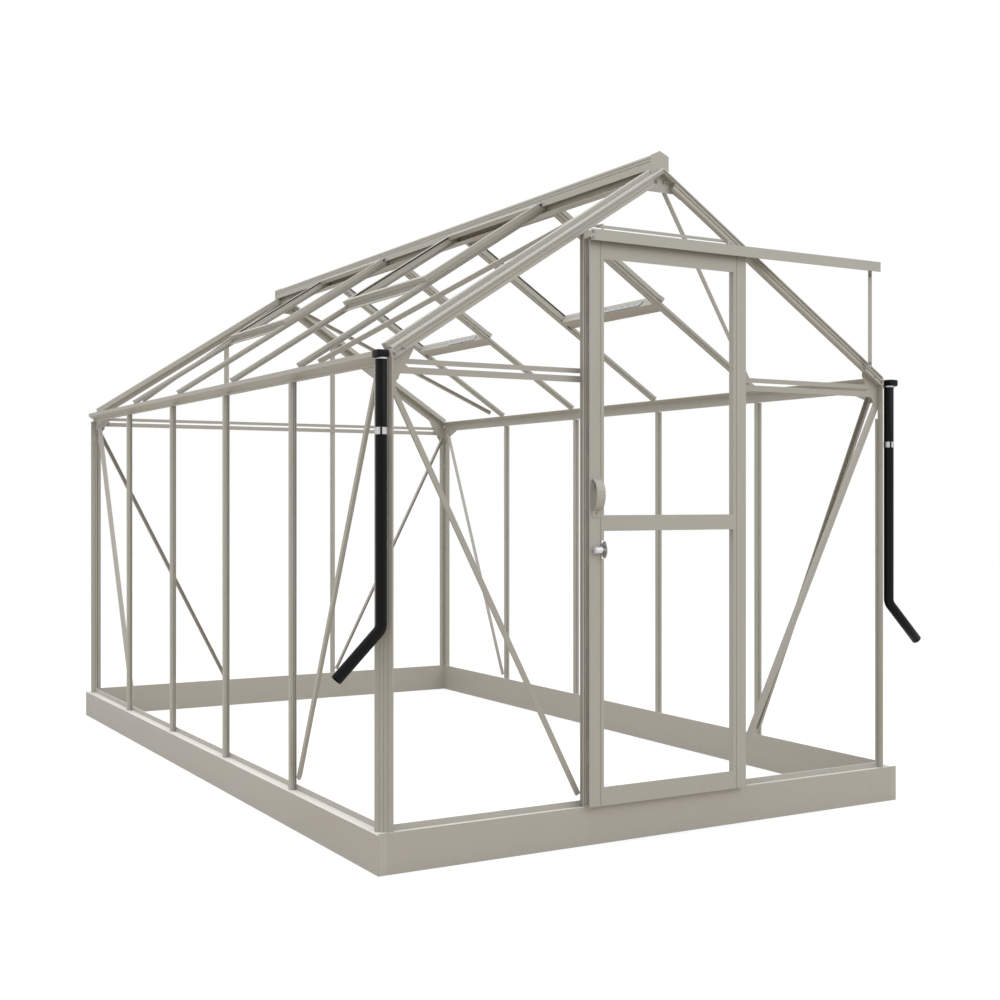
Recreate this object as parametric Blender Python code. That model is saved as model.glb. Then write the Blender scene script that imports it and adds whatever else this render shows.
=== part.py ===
"""Apex greenhouse frame: steel base, aluminium bars, sliding door and four roof vents.

Metres, +Z up. The door gable faces -Y and the ridge runs along Y. The origin is the
middle of the whole outline at ground level.
"""
import math

import bmesh
import bpy
from mathutils import Vector

# Overall layout
BASE_WIDTH = 1.899
BAY = 0.6225
SIDE_BAYS = 5
CORNER_LINE = 0.04775
WALL_TOP = 1.3635
ROOF_PITCH = math.radians(33.0)
GAP = 0.0003

# Base frame: folded channel with a glazing upstand
BASE_HEIGHT = 0.108
BASE_DEPTH = 0.0353
BASE_WALL = 0.0025
BASE_FOOT = 0.016
UPSTAND_HEIGHT = 0.017
UPSTAND_WALL = 0.003
MITRE_GAP = 0.0002

# Glazing bars, used for walls and roof
BAR_SETBACK = 0.012
BAR_DEPTH = 0.020
BAR_WIDTH = 0.0195
BAR_NOSE = 0.0165
BAR_NECK = 0.009
BAR_LAYER = 0.0025

# Corner posts
POST_REACH = 0.0388
POST_CHAMFER = 0.034
FLUTES = 3
FLUTE_WIDTH = 0.003
FLUTE_DEPTH = 0.0014
POST_LEG = 0.0598
POST_LEG_WALL = 0.003
POST_LEG_DROP = 0.0925

# Eave beam with its gutter
EAVE_LIP_SETBACK = 0.005
EAVE_LIP_WALL = 0.003
EAVE_LIP_RISE = 0.0225
EAVE_LIP_HEIGHT = 0.014
EAVE_SLANT_FOOT = 0.0065
EAVE_WEB = 0.030
EAVE_WEB_WALL = 0.004
EAVE_SEAT_IN = 0.0545
EAVE_SEAT_WALL = 0.0025
EAVE_SEAT_RISE = 0.0303

# Gable rafters
RAFTER_DEPTH = 0.0449
RAFTER_STEP = 0.0126
RAFTER_SHELF = 0.0035
RAFTER_NOSE = 0.026
RAFTER_BEAD = 0.0045
RAFTER_GROOVE = 0.007
RAFTER_RIB = 0.0045
RAFTER_SLOT = 0.004
RAFTER_SLOT_DEPTH = 0.0025
RAFTER_TOE = 0.043
RAFTER_TRIM = 0.058
ROOF_END_SETBACK = 0.0372

# Ridge
RIDGE_HALF_WIDTH = 0.030
RIDGE_WEB_HALF = 0.009
RIDGE_SHOULDER = 0.021
RIDGE_PEAK = 0.036
RIDGE_WEB_DROP = 0.040
RIDGE_FLANGE_HALF = 0.020
RIDGE_GROOVE = 0.003
RIDGE_PLATE = 0.0022

# Braces, gussets and ties
STRIP = 0.002
BRACE_WIDTH = 0.0150
BRACE_LEG = 0.0075
BRACE_RIM = 0.0165
ROOF_BRACE_WIDTH = 0.0165
ROOF_BRACE_LEG = 0.015
ROOF_BRACE_INSET = 0.0475
ROOF_BRACE_SHORT = 0.035
GUSSET_DROP = 0.0585
GUSSET_LEG = 0.025
GUSSET_WAIST = 0.0454
GUSSET_BETWEEN = 0.0640
GUSSET_SLANT = 0.0047
GUSSET_SHOULDER = 0.0707
GUSSET_REACH = 0.0849
GUSSET_RISE = 0.0464
SIDE_GUSSET_DROP = 0.0437
SIDE_GUSSET_REACH = 0.1375
TIE_UPPER = 0.0125
TIE_UPPER_HEIGHT = 0.0142
TIE_LOWER = 0.0118
TIE_LOWER_HEIGHT = 0.0182
GABLE_BRACE_HEAD = 0.0225
SIDE_BRACE_HEAD = 0.0678
GABLE_BRACE_LAP = 0.020
SIDE_BRACE_LAP = 0.045
BRACE_FOOT = 0.018
APEX_HALF = 0.050
APEX_DROP = 0.0875

# Sliding door
DOOR_WIDTH = 0.578
DOOR_FACE = 0.020
DOOR_DEPTH = 0.025
DOOR_FOOT_CLEARANCE = 0.006
DOOR_HEAD_CLEARANCE = 0.0036
HEAD_FLANGE = 0.010
STILE = 0.0491
STILE_REBATE = 0.0032
TOP_RAIL = 0.043
MID_RAIL = 0.046
MID_RAIL_HEIGHT = 0.910
BOTTOM_RAIL = 0.054
GLAZING_LIP = 0.009
GLAZING_LIP_WALL = 0.003
DOOR_TRAVEL = 0.510
ROLLER_RADIUS = 0.007
ROLLER_WIDTH = 0.006
HANGER_WIDTH = 0.040
HANGER_WALL = 0.003
HANGER_INSET = 0.085
SHOE_LENGTH = 0.030
SHOE_WALL = 0.004
GUIDE_LIP = 0.003
GUIDE_LIP_HEIGHT = 0.0045

# Door track and its stay
TRACK_RISE = 0.3820
TRACK_HEIGHT = 0.032
TRACK_LIP = 0.004
TRACK_FRONT = 0.045
TRACK_BACK = 0.004
TRACK_WALL = 0.002
TRACK_RAIL = 0.010
TRACK_RAIL_RISE = 0.0083
TRACK_LEFT_OVERHANG = 0.0107
TRACK_END_OVERHANG = 0.0068
HEADER_RISE = 0.0174
HEADER_HEIGHT = 0.0087
HEADER_DEPTH = 0.003
HEADER_BRACKET = 0.008
STAY_WIDTH = 0.0149
STAY_WALL = 0.0025
STAY_CLEARANCE = 0.0138
STAY_SETBACK = 0.0125

# Door handle and turn lock
HANDLE_WIDTH = 0.028
HANDLE_WALL = 0.0025
HANDLE_REACH = 0.029
HANDLE_RISE = -0.005
HANDLE_TAB_LOW = 0.020
HANDLE_BOW = 0.0876
HANDLE_TAB_HIGH = 0.004
HANDLE_PLACE = 0.0215
LOCK_DROP = 0.054
LOCK_RADIUS = 0.0105
LOCK_LENGTH = 0.023
LOCK_PLACE = 0.009
LOCK_SPINDLE = 0.004
TURN_HALF_HEIGHT = 0.025
TURN_HALF_WIDTH = 0.015
TURN_WALL = 0.003
TURN_CLEARANCE = 0.0007
TURN_INSET = 0.0422
LOCK_NOTCH = 0.0265

# Roof vents, their fixed sills and their stays
VENT_RIDGE_GAP = 0.0065
VENT_RUN = 0.5210
VENT_OVERLAP = 0.012
VENT_RAIL = 0.020
VENT_HEIGHT = 0.0157
VENT_EAR = 0.003
HINGE_RADIUS = 0.0025
HINGE_LIFT = 0.0125
HINGE_NECK = 0.0022
SILL_WIDTH = 0.0255
SILL_GROOVE = 0.005
SILL_FLANGE = 0.024
SILL_FLANGE_DROP = 0.014
SILL_FLANGE_WALL = 0.003
STAY_BAR_LENGTH = 0.250
STAY_BAR_HEIGHT = 0.012
STAY_BAR_WALL = 0.003
STAY_BAR_OFFSET = 0.020
STAY_PIN_RISE = 0.008
STAY_BAR_DROP = 0.010
STAY_BAR_HOOK = 0.007
STAY_HOLES = 5
STAY_HOLE_RADIUS = 0.003
STAY_HOLE_PITCH = 0.040

# Downpipes
PIPE_RADIUS = 0.016
PIPE_WALL = 0.002
PIPE_BEND_HEIGHT = 0.657
SPOUT_LENGTH = 0.184
SPOUT_ANGLE = math.radians(45.0)
COLLAR_HEIGHT = 0.019
COLLAR_RISE = 0.0185
COLLAR_SQUARE = 0.75
COLLAR_MARGIN = 0.0065

ROUND_SIDES = 24
SMALL_SIDES = 12

# Derived places
HALF_WIDTH = BASE_WIDTH / 2
BASE_LENGTH = SIDE_BAYS * BAY + 2 * CORNER_LINE
FRONT_OVERHANG = DOOR_FACE + GAP + HANDLE_REACH
FRONT = (FRONT_OVERHANG - BASE_LENGTH) / 2
REAR = FRONT + BASE_LENGTH
MIDDLE = (FRONT + REAR) / 2
BAR_BACK = BAR_SETBACK + BAR_DEPTH
POST_FOOT = BASE_HEIGHT + GAP
POST_HEAD = WALL_TOP - GAP
CORNER_HEAD = WALL_TOP + COLLAR_RISE - GAP
SILL_TOP = BASE_HEIGHT + UPSTAND_HEIGHT
BRACE_PLANE = BAR_BACK + GAP
RIDGE_END = BAR_BACK + RAFTER_SHELF - 2 * GAP
COS = math.cos(ROOF_PITCH)
SIN = math.sin(ROOF_PITCH)
TAN = math.tan(ROOF_PITCH)
ROOF_RUN = (HALF_WIDTH - ROOF_END_SETBACK) / COS
ROOF_TOP = WALL_TOP + EAVE_SEAT_RISE + GAP + BAR_DEPTH / COS + (HALF_WIDTH - EAVE_WEB) * TAN
UNDERSIDE = -BAR_DEPTH - GAP
DOOR_HALF = DOOR_WIDTH / 2
TRACK_BOTTOM = WALL_TOP + TRACK_RISE
TRACK_TOP = TRACK_BOTTOM + TRACK_HEIGHT
RAIL_FOOT = TRACK_BOTTOM + TRACK_RAIL_RISE
DOOR_FOOT = BASE_HEIGHT + DOOR_FOOT_CLEARANCE
HANDLE_HEIGHT = MID_RAIL_HEIGHT + MID_RAIL + HANDLE_RISE
LOCK_HEIGHT = MID_RAIL_HEIGHT - LOCK_DROP
DOOR_HEAD = TRACK_BOTTOM - DOOR_HEAD_CLEARANCE
TURN_PLACE = -DOOR_HALF + TURN_INSET
GABLE_POST = HALF_WIDTH - CORNER_LINE - BAY
BAR_PLACES = [MIDDLE + (k - (SIDE_BAYS - 2) / 2) * BAY for k in range(SIDE_BAYS - 1)]
VENT_BAYS = {"front": (BAR_PLACES[0], BAR_PLACES[1]), "rear": (BAR_PLACES[2], BAR_PLACES[3])}
SIDES = {"left": -1, "right": 1}
ENDS = {"front": -1, "rear": 1}


def clear_scene():
    for thing in list(bpy.data.objects):
        bpy.data.objects.remove(thing, do_unlink=True)


def finish_material(name, colour, roughness, metallic):
    material = bpy.data.materials.new(name)
    material.use_nodes = True
    shader = material.node_tree.nodes["Principled BSDF"]
    shader.inputs["Base Color"].default_value = (*colour, 1.0)
    shader.inputs["Roughness"].default_value = roughness
    shader.inputs["Metallic"].default_value = metallic
    return material


def new_object(name, mesh_builder, finish):
    """Link one object whose mesh is the closed body in the given bmesh."""
    bmesh.ops.recalc_face_normals(mesh_builder, faces=mesh_builder.faces[:])
    mesh = bpy.data.meshes.new(name)
    mesh_builder.to_mesh(mesh)
    mesh_builder.free()
    thing = bpy.data.objects.new(name, mesh)
    bpy.context.scene.collection.objects.link(thing)
    thing.data.materials.append(finish_material(name, *finish))
    return thing


def sweep(name, outline, start, end, finish):
    """Closed prism: each outline point is placed by start() and by end()."""
    builder = bmesh.new()
    first = [builder.verts.new(start(*point)) for point in outline]
    last = [builder.verts.new(end(*point)) for point in outline]
    count = len(outline)
    for k in range(count):
        j = (k + 1) % count
        builder.faces.new((first[k], first[j], last[j], last[k]))
    builder.faces.new(first[::-1])
    builder.faces.new(last)
    return new_object(name, builder, finish)


def box(name, x_range, y_range, z_range, finish):
    corners = [(x, y) for x, y in (
        (x_range[0], y_range[0]), (x_range[1], y_range[0]),
        (x_range[1], y_range[1]), (x_range[0], y_range[1]))]
    return sweep(name, corners, lambda x, y: (x, y, z_range[0]), lambda x, y: (x, y, z_range[1]), finish)


def circle(radius_a, radius_b, sides):
    steps = [2 * math.pi * k / sides for k in range(sides)]
    return [(radius_a * math.cos(t), radius_b * math.sin(t)) for t in steps]


def combine(thing, others, operation):
    """Apply an exact Boolean with each other object in turn, then drop those objects."""
    for other in others:
        cut = thing.modifiers.new("combine", "BOOLEAN")
        cut.operation = operation
        cut.solver = "EXACT"
        cut.object = other
        graph = bpy.context.evaluated_depsgraph_get()
        result = bpy.data.meshes.new_from_object(thing.evaluated_get(graph))
        thing.modifiers.clear()
        old = thing.data
        thing.data = result
        bpy.data.meshes.remove(old)
        bpy.data.objects.remove(other, do_unlink=True)
    keep = thing.data.materials[0]
    thing.data.materials.clear()
    thing.data.materials.append(keep)
    thing.data.name = thing.name
    return thing


def join_on(thing, *others):
    return combine(thing, others, "UNION")


def cut_from(thing, *others):
    return combine(thing, others, "DIFFERENCE")


def set_origin(thing, point):
    """Move the object's origin to a point without moving its surface."""
    shift = Vector(point)
    for vertex in thing.data.vertices:
        vertex.co -= shift
    thing.location = shift


def shade_round(thing):
    thing.data.shade_smooth()
    thing.data.set_sharp_from_angle(angle=math.radians(35))


def wall_place(wall, along, depth, height):
    """Point at a depth inside the outer face of one wall of the base."""
    if wall == "front":
        return (along, FRONT + depth, height)
    if wall == "rear":
        return (along, REAR - depth, height)
    if wall == "left":
        return (-HALF_WIDTH + depth, along, height)
    return (HALF_WIDTH - depth, along, height)


def slope_place(side, run, along, rise):
    """Point on a roof slope: distance down it, place along the ridge, height above it."""
    x = SIDES[side] * (run * COS + rise * SIN)
    return (x, along, ROOF_TOP - run * SIN + rise * COS)


def slope_block(name, side, run_range, along_range, rise_range, finish):
    outline = [(run, rise) for run, rise in (
        (run_range[0], rise_range[0]), (run_range[1], rise_range[0]),
        (run_range[1], rise_range[1]), (run_range[0], rise_range[1]))]
    return sweep(
        name, outline,
        lambda run, rise: slope_place(side, run, along_range[0], rise),
        lambda run, rise: slope_place(side, run, along_range[1], rise), finish)


def slope_height(x, rise):
    """Height of a plane parallel to the roof at a distance x from the ridge line."""
    return ROOF_TOP + rise / COS - abs(x) * TAN


COATED = ((0.40, 0.38, 0.33), 0.45, 0.0)
COATED_BASE = ((0.42, 0.39, 0.35), 0.5, 0.0)
BLACK_PIPE = ((0.02, 0.02, 0.022), 0.35, 0.0)
BRIGHT_METAL = ((0.62, 0.62, 0.64), 0.3, 1.0)


def build_base():
    inner_wall = BASE_DEPTH - BASE_WALL
    upstand = BASE_DEPTH - UPSTAND_WALL
    top_under = BASE_HEIGHT - BASE_WALL
    channel = [
        (0.0, 0.0), (BASE_FOOT, 0.0), (BASE_FOOT, BASE_WALL), (BASE_WALL, BASE_WALL),
        (BASE_WALL, top_under), (inner_wall, top_under), (inner_wall, 0.0), (BASE_DEPTH, 0.0),
        (BASE_DEPTH, SILL_TOP), (upstand, SILL_TOP), (upstand, BASE_HEIGHT), (0.0, BASE_HEIGHT)]
    guide_top = BASE_HEIGHT + GUIDE_LIP_HEIGHT
    guided = channel[:-1] + [
        (GUIDE_LIP, BASE_HEIGHT), (GUIDE_LIP, guide_top), (0.0, guide_top)]
    for wall in ("front", "rear", "left", "right"):
        outline = guided if wall == "front" else channel
        if wall in ENDS:
            low, high = -HALF_WIDTH + MITRE_GAP, HALF_WIDTH - MITRE_GAP
        else:
            low, high = FRONT + MITRE_GAP, REAR - MITRE_GAP
        sweep(
            "base_plinth_" + wall, outline,
            lambda depth, z, w=wall, a=low: wall_place(w, a + depth, depth, z),
            lambda depth, z, w=wall, a=high: wall_place(w, a - depth, depth, z), COATED_BASE)


def flute(start, end, share):
    """Three points of one V groove on the straight run from start to end."""
    run = Vector((end[0] - start[0], end[1] - start[1]))
    along = run.normalized()
    inward = Vector((-along.y, along.x))
    middle = Vector(start) + run * share
    edge = along * (FLUTE_WIDTH / 2)
    return [tuple(middle - edge), tuple(middle + inward * FLUTE_DEPTH), tuple(middle + edge)]


def build_corner_posts():
    near = BAR_SETBACK
    far = BAR_BACK
    bend = near + POST_CHAMFER
    tip = near + POST_REACH
    chamfer_start = (near, bend)
    chamfer_end = (bend, near)
    outline = [(near, tip), chamfer_start]
    for k in range(FLUTES):
        outline += flute(chamfer_start, chamfer_end, (k + 1) / (FLUTES + 1))
    outline += [chamfer_end, (tip, near), (tip, far), (far, far), (far, tip)]
    for end, y_sign in ENDS.items():
        edge = FRONT if y_sign < 0 else REAR
        for side, x_sign in SIDES.items():
            def place(depth_x, depth_y, z, sx=x_sign, sy=y_sign, y0=edge):
                return (sx * (HALF_WIDTH - depth_x), y0 - sy * depth_y, z)
            post = sweep(
                "corner_post_" + end + "_" + side, outline,
                lambda a, b, p=place: p(a, b, POST_FOOT),
                lambda a, b, p=place: p(a, b, CORNER_HEAD), COATED)
            inner = place(0, far - GAP, 0)[1]
            beyond = place(0, tip + near, 0)[1]
            eave_room = box(
                "eave_room", sorted((x_sign * (HALF_WIDTH - tip - near), x_sign * HALF_WIDTH)),
                sorted((inner, beyond)), (POST_HEAD, CORNER_HEAD + near), COATED)
            cut_from(post, eave_room)
            behind = (far - GAP, far + POST_LEG_WALL)
            inside = (bend - GAP, POST_LEG)
            height = (SILL_TOP + GAP, WALL_TOP - POST_LEG_DROP)
            for depth_x, depth_y in ((inside, behind), (behind, inside)):
                low, high = place(depth_x[0], depth_y[0], 0), place(depth_x[1], depth_y[1], 0)
                join_on(post, box(
                    "inner_leg", sorted((low[0], high[0])), sorted((low[1], high[1])), height, COATED))


def bar_outline():
    """Half widths by depth: nose, glass groove, seat, groove, inner channel edge."""
    widths = [BAR_NOSE, BAR_NECK, BAR_WIDTH, BAR_NECK, BAR_WIDTH]
    nose_depth = BAR_DEPTH - 4 * BAR_LAYER
    depths = [0.0, nose_depth] + [nose_depth + BAR_LAYER * k for k in range(1, 5)]
    one_side = []
    for k, width in enumerate(widths):
        one_side += [(width / 2, depths[k]), (width / 2, depths[k + 1])]
    return one_side + [(-w, d) for w, d in reversed(one_side)]


def build_wall_bars():
    outline = bar_outline()
    for side in SIDES:
        for k, place in enumerate(BAR_PLACES):
            def at(w, d, z, s=side, y0=place):
                return wall_place(s, y0 + w, BAR_SETBACK + d, z)
            sweep(
                "side_bar_" + side + "_" + str(k + 1), outline,
                lambda w, d, f=at: f(w, d, POST_FOOT), lambda w, d, f=at: f(w, d, POST_HEAD), COATED)
    for wall, prefix in (("front", "door_post_"), ("rear", "rear_stud_")):
        for side, x_sign in SIDES.items():
            centre = x_sign * GABLE_POST

            def at(w, d, z, wl=wall, x0=centre):
                return wall_place(wl, x0 + w, BAR_SETBACK + d, z)

            def head(w, x0=centre):
                return slope_height(x0 + w, -RAFTER_DEPTH) - GAP
            sweep(
                prefix + side, outline,
                lambda w, d, f=at: f(w, d, POST_FOOT),
                lambda w, d, f=at, h=head: f(w, d, h(w)), COATED)


def build_eaves():
    """Thin beam: slanted gutter outside, upright web, seat for the roof bars inside."""
    lip_bottom = WALL_TOP + EAVE_LIP_RISE
    lip_top = lip_bottom + EAVE_LIP_HEIGHT
    lip_in = EAVE_LIP_SETBACK + EAVE_LIP_WALL
    slant_foot = WALL_TOP + EAVE_SLANT_FOOT
    web_in = EAVE_WEB + EAVE_WEB_WALL

    def seat(depth):
        return slope_height(HALF_WIDTH - depth, -BAR_DEPTH) - GAP

    def trough(depth):
        share = (depth - EAVE_LIP_SETBACK) / (EAVE_WEB - EAVE_LIP_SETBACK)
        return lip_bottom + share * (slant_foot - lip_bottom) + EAVE_LIP_WALL
    outline = [
        (EAVE_LIP_SETBACK, lip_bottom), (EAVE_WEB, slant_foot), (EAVE_WEB, WALL_TOP), (web_in, WALL_TOP),
        (web_in, seat(web_in) - EAVE_SEAT_WALL), (EAVE_SEAT_IN, seat(EAVE_SEAT_IN) - EAVE_SEAT_WALL),
        (EAVE_SEAT_IN, seat(EAVE_SEAT_IN)), (EAVE_WEB, seat(EAVE_WEB)), (EAVE_WEB, trough(EAVE_WEB)),
        (lip_in, trough(lip_in)), (lip_in, lip_top), (EAVE_LIP_SETBACK, lip_top)]
    start = FRONT + BRACE_PLANE
    end = REAR - BRACE_PLANE
    step = STRIP + 4 * GAP
    room_out = HALF_WIDTH - EAVE_WEB + GAP
    room_in = HALF_WIDTH - 2 * EAVE_SEAT_IN
    notch_z = (WALL_TOP - BAR_DEPTH, seat(EAVE_SEAT_IN) + BAR_DEPTH)
    for side, x_sign in SIDES.items():
        beam = sweep(
            "eave_gutter_" + side, outline,
            lambda depth, z, s=side: wall_place(s, start, depth, z),
            lambda depth, z, s=side: wall_place(s, end, depth, z), COATED)
        notch_x = sorted((x_sign * room_out, x_sign * room_in))
        cut_from(
            beam,
            box("notch", notch_x, (start - step, start + step), notch_z, COATED),
            box("notch", notch_x, (end - step, end + step), notch_z, COATED))


def build_rafters():
    """Gable rafter: glazing shelf, rounded bead, grooved front flange with a trimmed toe."""
    back = BAR_BACK + RAFTER_SHELF
    front = BAR_SETBACK
    groove_top = -BAR_DEPTH
    groove_foot = groove_top - RAFTER_GROOVE
    slot_top = groove_foot - RAFTER_RIB
    slot_foot = slot_top - RAFTER_SLOT
    outline = [
        (front, -RAFTER_DEPTH), (BAR_BACK, -RAFTER_DEPTH), (BAR_BACK, -BAR_DEPTH),
        (back + RAFTER_NOSE, -BAR_DEPTH), (back + RAFTER_NOSE, 0.0), (back, 0.0),
        (back, -RAFTER_STEP), (front + RAFTER_BEAD, -RAFTER_STEP), (front, -RAFTER_STEP - RAFTER_BEAD),
        (front, groove_top), (front + RAFTER_SHELF, groove_top), (front + RAFTER_SHELF, groove_foot),
        (front, groove_foot), (front, slot_top), (front + RAFTER_SLOT_DEPTH, slot_top),
        (front + RAFTER_SLOT_DEPTH, slot_foot), (front, slot_foot)]
    toe_x = HALF_WIDTH - RAFTER_TOE
    toe_z = CORNER_HEAD + GAP
    inside_run = ROOF_RUN - RAFTER_SHELF
    toe_foot = GAP - RAFTER_DEPTH
    toe_head = (groove_top - RAFTER_STEP - RAFTER_BEAD) / 2
    toe_meet = (ROOF_TOP + toe_foot / COS - toe_z) / TAN
    for end in ENDS:
        for side, x_sign in SIDES.items():
            def upper(depth, rise, e=end, sd=side):
                run = (GAP / 2 - rise * SIN) / COS
                return slope_place(sd, run, wall_place(e, 0, depth, 0)[1], rise)

            def lower(depth, rise, e=end, sd=side):
                return slope_place(sd, ROOF_RUN, wall_place(e, 0, depth, 0)[1], rise)
            rafter = sweep("gable_rafter_" + end + "_" + side, outline, upper, lower, COATED)
            low_inside = slope_place(side, inside_run, 0, toe_foot)
            high_inside = slope_place(side, inside_run, 0, toe_head)
            toe_outline = [
                (low_inside[0], low_inside[2]), (x_sign * toe_meet, toe_z), (x_sign * toe_x, toe_z),
                (x_sign * toe_x, slope_height(toe_x, toe_head)),
                (high_inside[0], high_inside[2])]
            toe = sweep(
                "toe", toe_outline,
                lambda x, z, e=end: wall_place(e, x, front + GAP, z),
                lambda x, z, e=end: wall_place(e, x, BAR_BACK - GAP, z), COATED)
            join_on(rafter, toe)
            relief_x = sorted((-x_sign * RIDGE_WEB_HALF, x_sign * (RIDGE_WEB_HALF + GAP)))
            relief_y = sorted((
                wall_place(end, 0, RIDGE_END - 2 * GAP, 0)[1],
                wall_place(end, 0, back + 2 * RAFTER_NOSE, 0)[1]))
            relief_z = (ROOF_TOP - 2 * RAFTER_DEPTH, ROOF_TOP + RAFTER_DEPTH)
            cut_from(rafter, box("relief", relief_x, relief_y, relief_z, COATED))
            trim_y = sorted((wall_place(end, 0, 0, 0)[1], wall_place(end, 0, BAR_BACK + GAP, 0)[1]))
            cut_from(rafter, slope_block(
                "trim", side, (-RAFTER_TRIM, RAFTER_TRIM / COS), trim_y,
                (-2 * RAFTER_DEPTH, groove_foot - GAP), COATED))


def build_roof_bars():
    outline = bar_outline()
    for side in SIDES:
        for k, place in enumerate(BAR_PLACES):
            def upper(w, d, sd=side, y0=place):
                run = (RIDGE_WEB_HALF + GAP + d * SIN) / COS
                return slope_place(sd, run, y0 + w, -d)

            def lower(w, d, sd=side, y0=place):
                return slope_place(sd, ROOF_RUN, y0 + w, -d)
            sweep("roof_bar_" + side + "_" + str(k + 1), outline, upper, lower, COATED)


def build_ridge():
    peak = ROOF_TOP + RIDGE_PEAK
    shoulder = ROOF_TOP + RIDGE_SHOULDER
    foot = ROOF_TOP - RIDGE_WEB_DROP

    def under(x):
        return slope_height(x, 0.0) + GAP

    def below(x):
        return slope_height(x, UNDERSIDE) - GAP
    side_foot = under(RIDGE_HALF_WIDTH)
    bands = [shoulder - RIDGE_GROOVE * k for k in (2, 3, 5, 6)]
    groove_in = RIDGE_HALF_WIDTH - RIDGE_GROOVE / 2
    half = [
        (RIDGE_HALF_WIDTH, shoulder),
        (RIDGE_HALF_WIDTH, bands[0]), (groove_in, bands[0]),
        (groove_in, bands[1]), (RIDGE_HALF_WIDTH, bands[1]),
        (RIDGE_HALF_WIDTH, bands[2]), (groove_in, bands[2]),
        (groove_in, bands[3]), (RIDGE_HALF_WIDTH, bands[3]),
        (RIDGE_HALF_WIDTH, side_foot), (RIDGE_WEB_HALF, under(RIDGE_WEB_HALF)),
        (RIDGE_WEB_HALF, below(RIDGE_WEB_HALF)), (RIDGE_FLANGE_HALF, below(RIDGE_FLANGE_HALF)),
        (RIDGE_FLANGE_HALF, foot)]
    outline = [(0.0, peak)] + half + [(-x, z) for x, z in reversed(half)]
    start = FRONT + RIDGE_END
    end = REAR - RIDGE_END
    ridge = sweep(
        "ridge_beam", outline, lambda x, z: (x, start, z), lambda x, z: (x, end, z), COATED)
    plate_half = RIDGE_HALF_WIDTH + RIDGE_PLATE

    def plate_under(x):
        return slope_height(x, -RAFTER_STEP) + 2 * GAP
    plate = [
        (0.0, peak + RIDGE_PLATE), (plate_half, shoulder + RIDGE_PLATE),
        (plate_half, plate_under(plate_half)), (0.0, plate_under(0.0)),
        (-plate_half, plate_under(plate_half)), (-plate_half, shoulder + RIDGE_PLATE)]
    plates = []
    for y, inward in ((start, 1), (end, -1)):
        outer = y - inward * RIDGE_PLATE
        inner = y + inward * GAP / 2
        plates.append(sweep(
            "ridge_plate", plate,
            lambda x, z, a=outer: (x, a, z), lambda x, z, a=inner: (x, a, z), COATED))
    join_on(ridge, *plates)


def strip_outline(start, end, width):
    """Corners of a flat strip between two points of a plane, square at its ends."""
    along = Vector((end[0] - start[0], end[1] - start[1])).normalized()
    across = Vector((-along.y, along.x)) * width / 2
    a = Vector(start)
    b = Vector(end)
    return [tuple(a - across), tuple(b - across), tuple(b + across), tuple(a + across)]


def folded_bar(name, start, end, plane, width, legs, lap):
    """Strip lapped past its start, flat in the plane, its lower and upper edges folded inwards."""
    along = Vector((end[0] - start[0], end[1] - start[1])).normalized()
    across = Vector((-along.y, along.x))
    half = width / 2
    section = [(-half, 0.0), (half, 0.0)]
    if legs[1] > STRIP:
        section += [(half, legs[1]), (half - STRIP, legs[1]), (half - STRIP, STRIP)]
    else:
        section.append((half, STRIP))
    if legs[0] > STRIP:
        section += [(STRIP - half, STRIP), (STRIP - half, legs[0]), (-half, legs[0])]
    else:
        section.append((-half, STRIP))

    def at(point):
        return lambda c, layer: plane(point[0] + across.x * c, point[1] + across.y * c, layer)
    return sweep(name, section, at(Vector(start) - along * lap), at(end), COATED)


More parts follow.
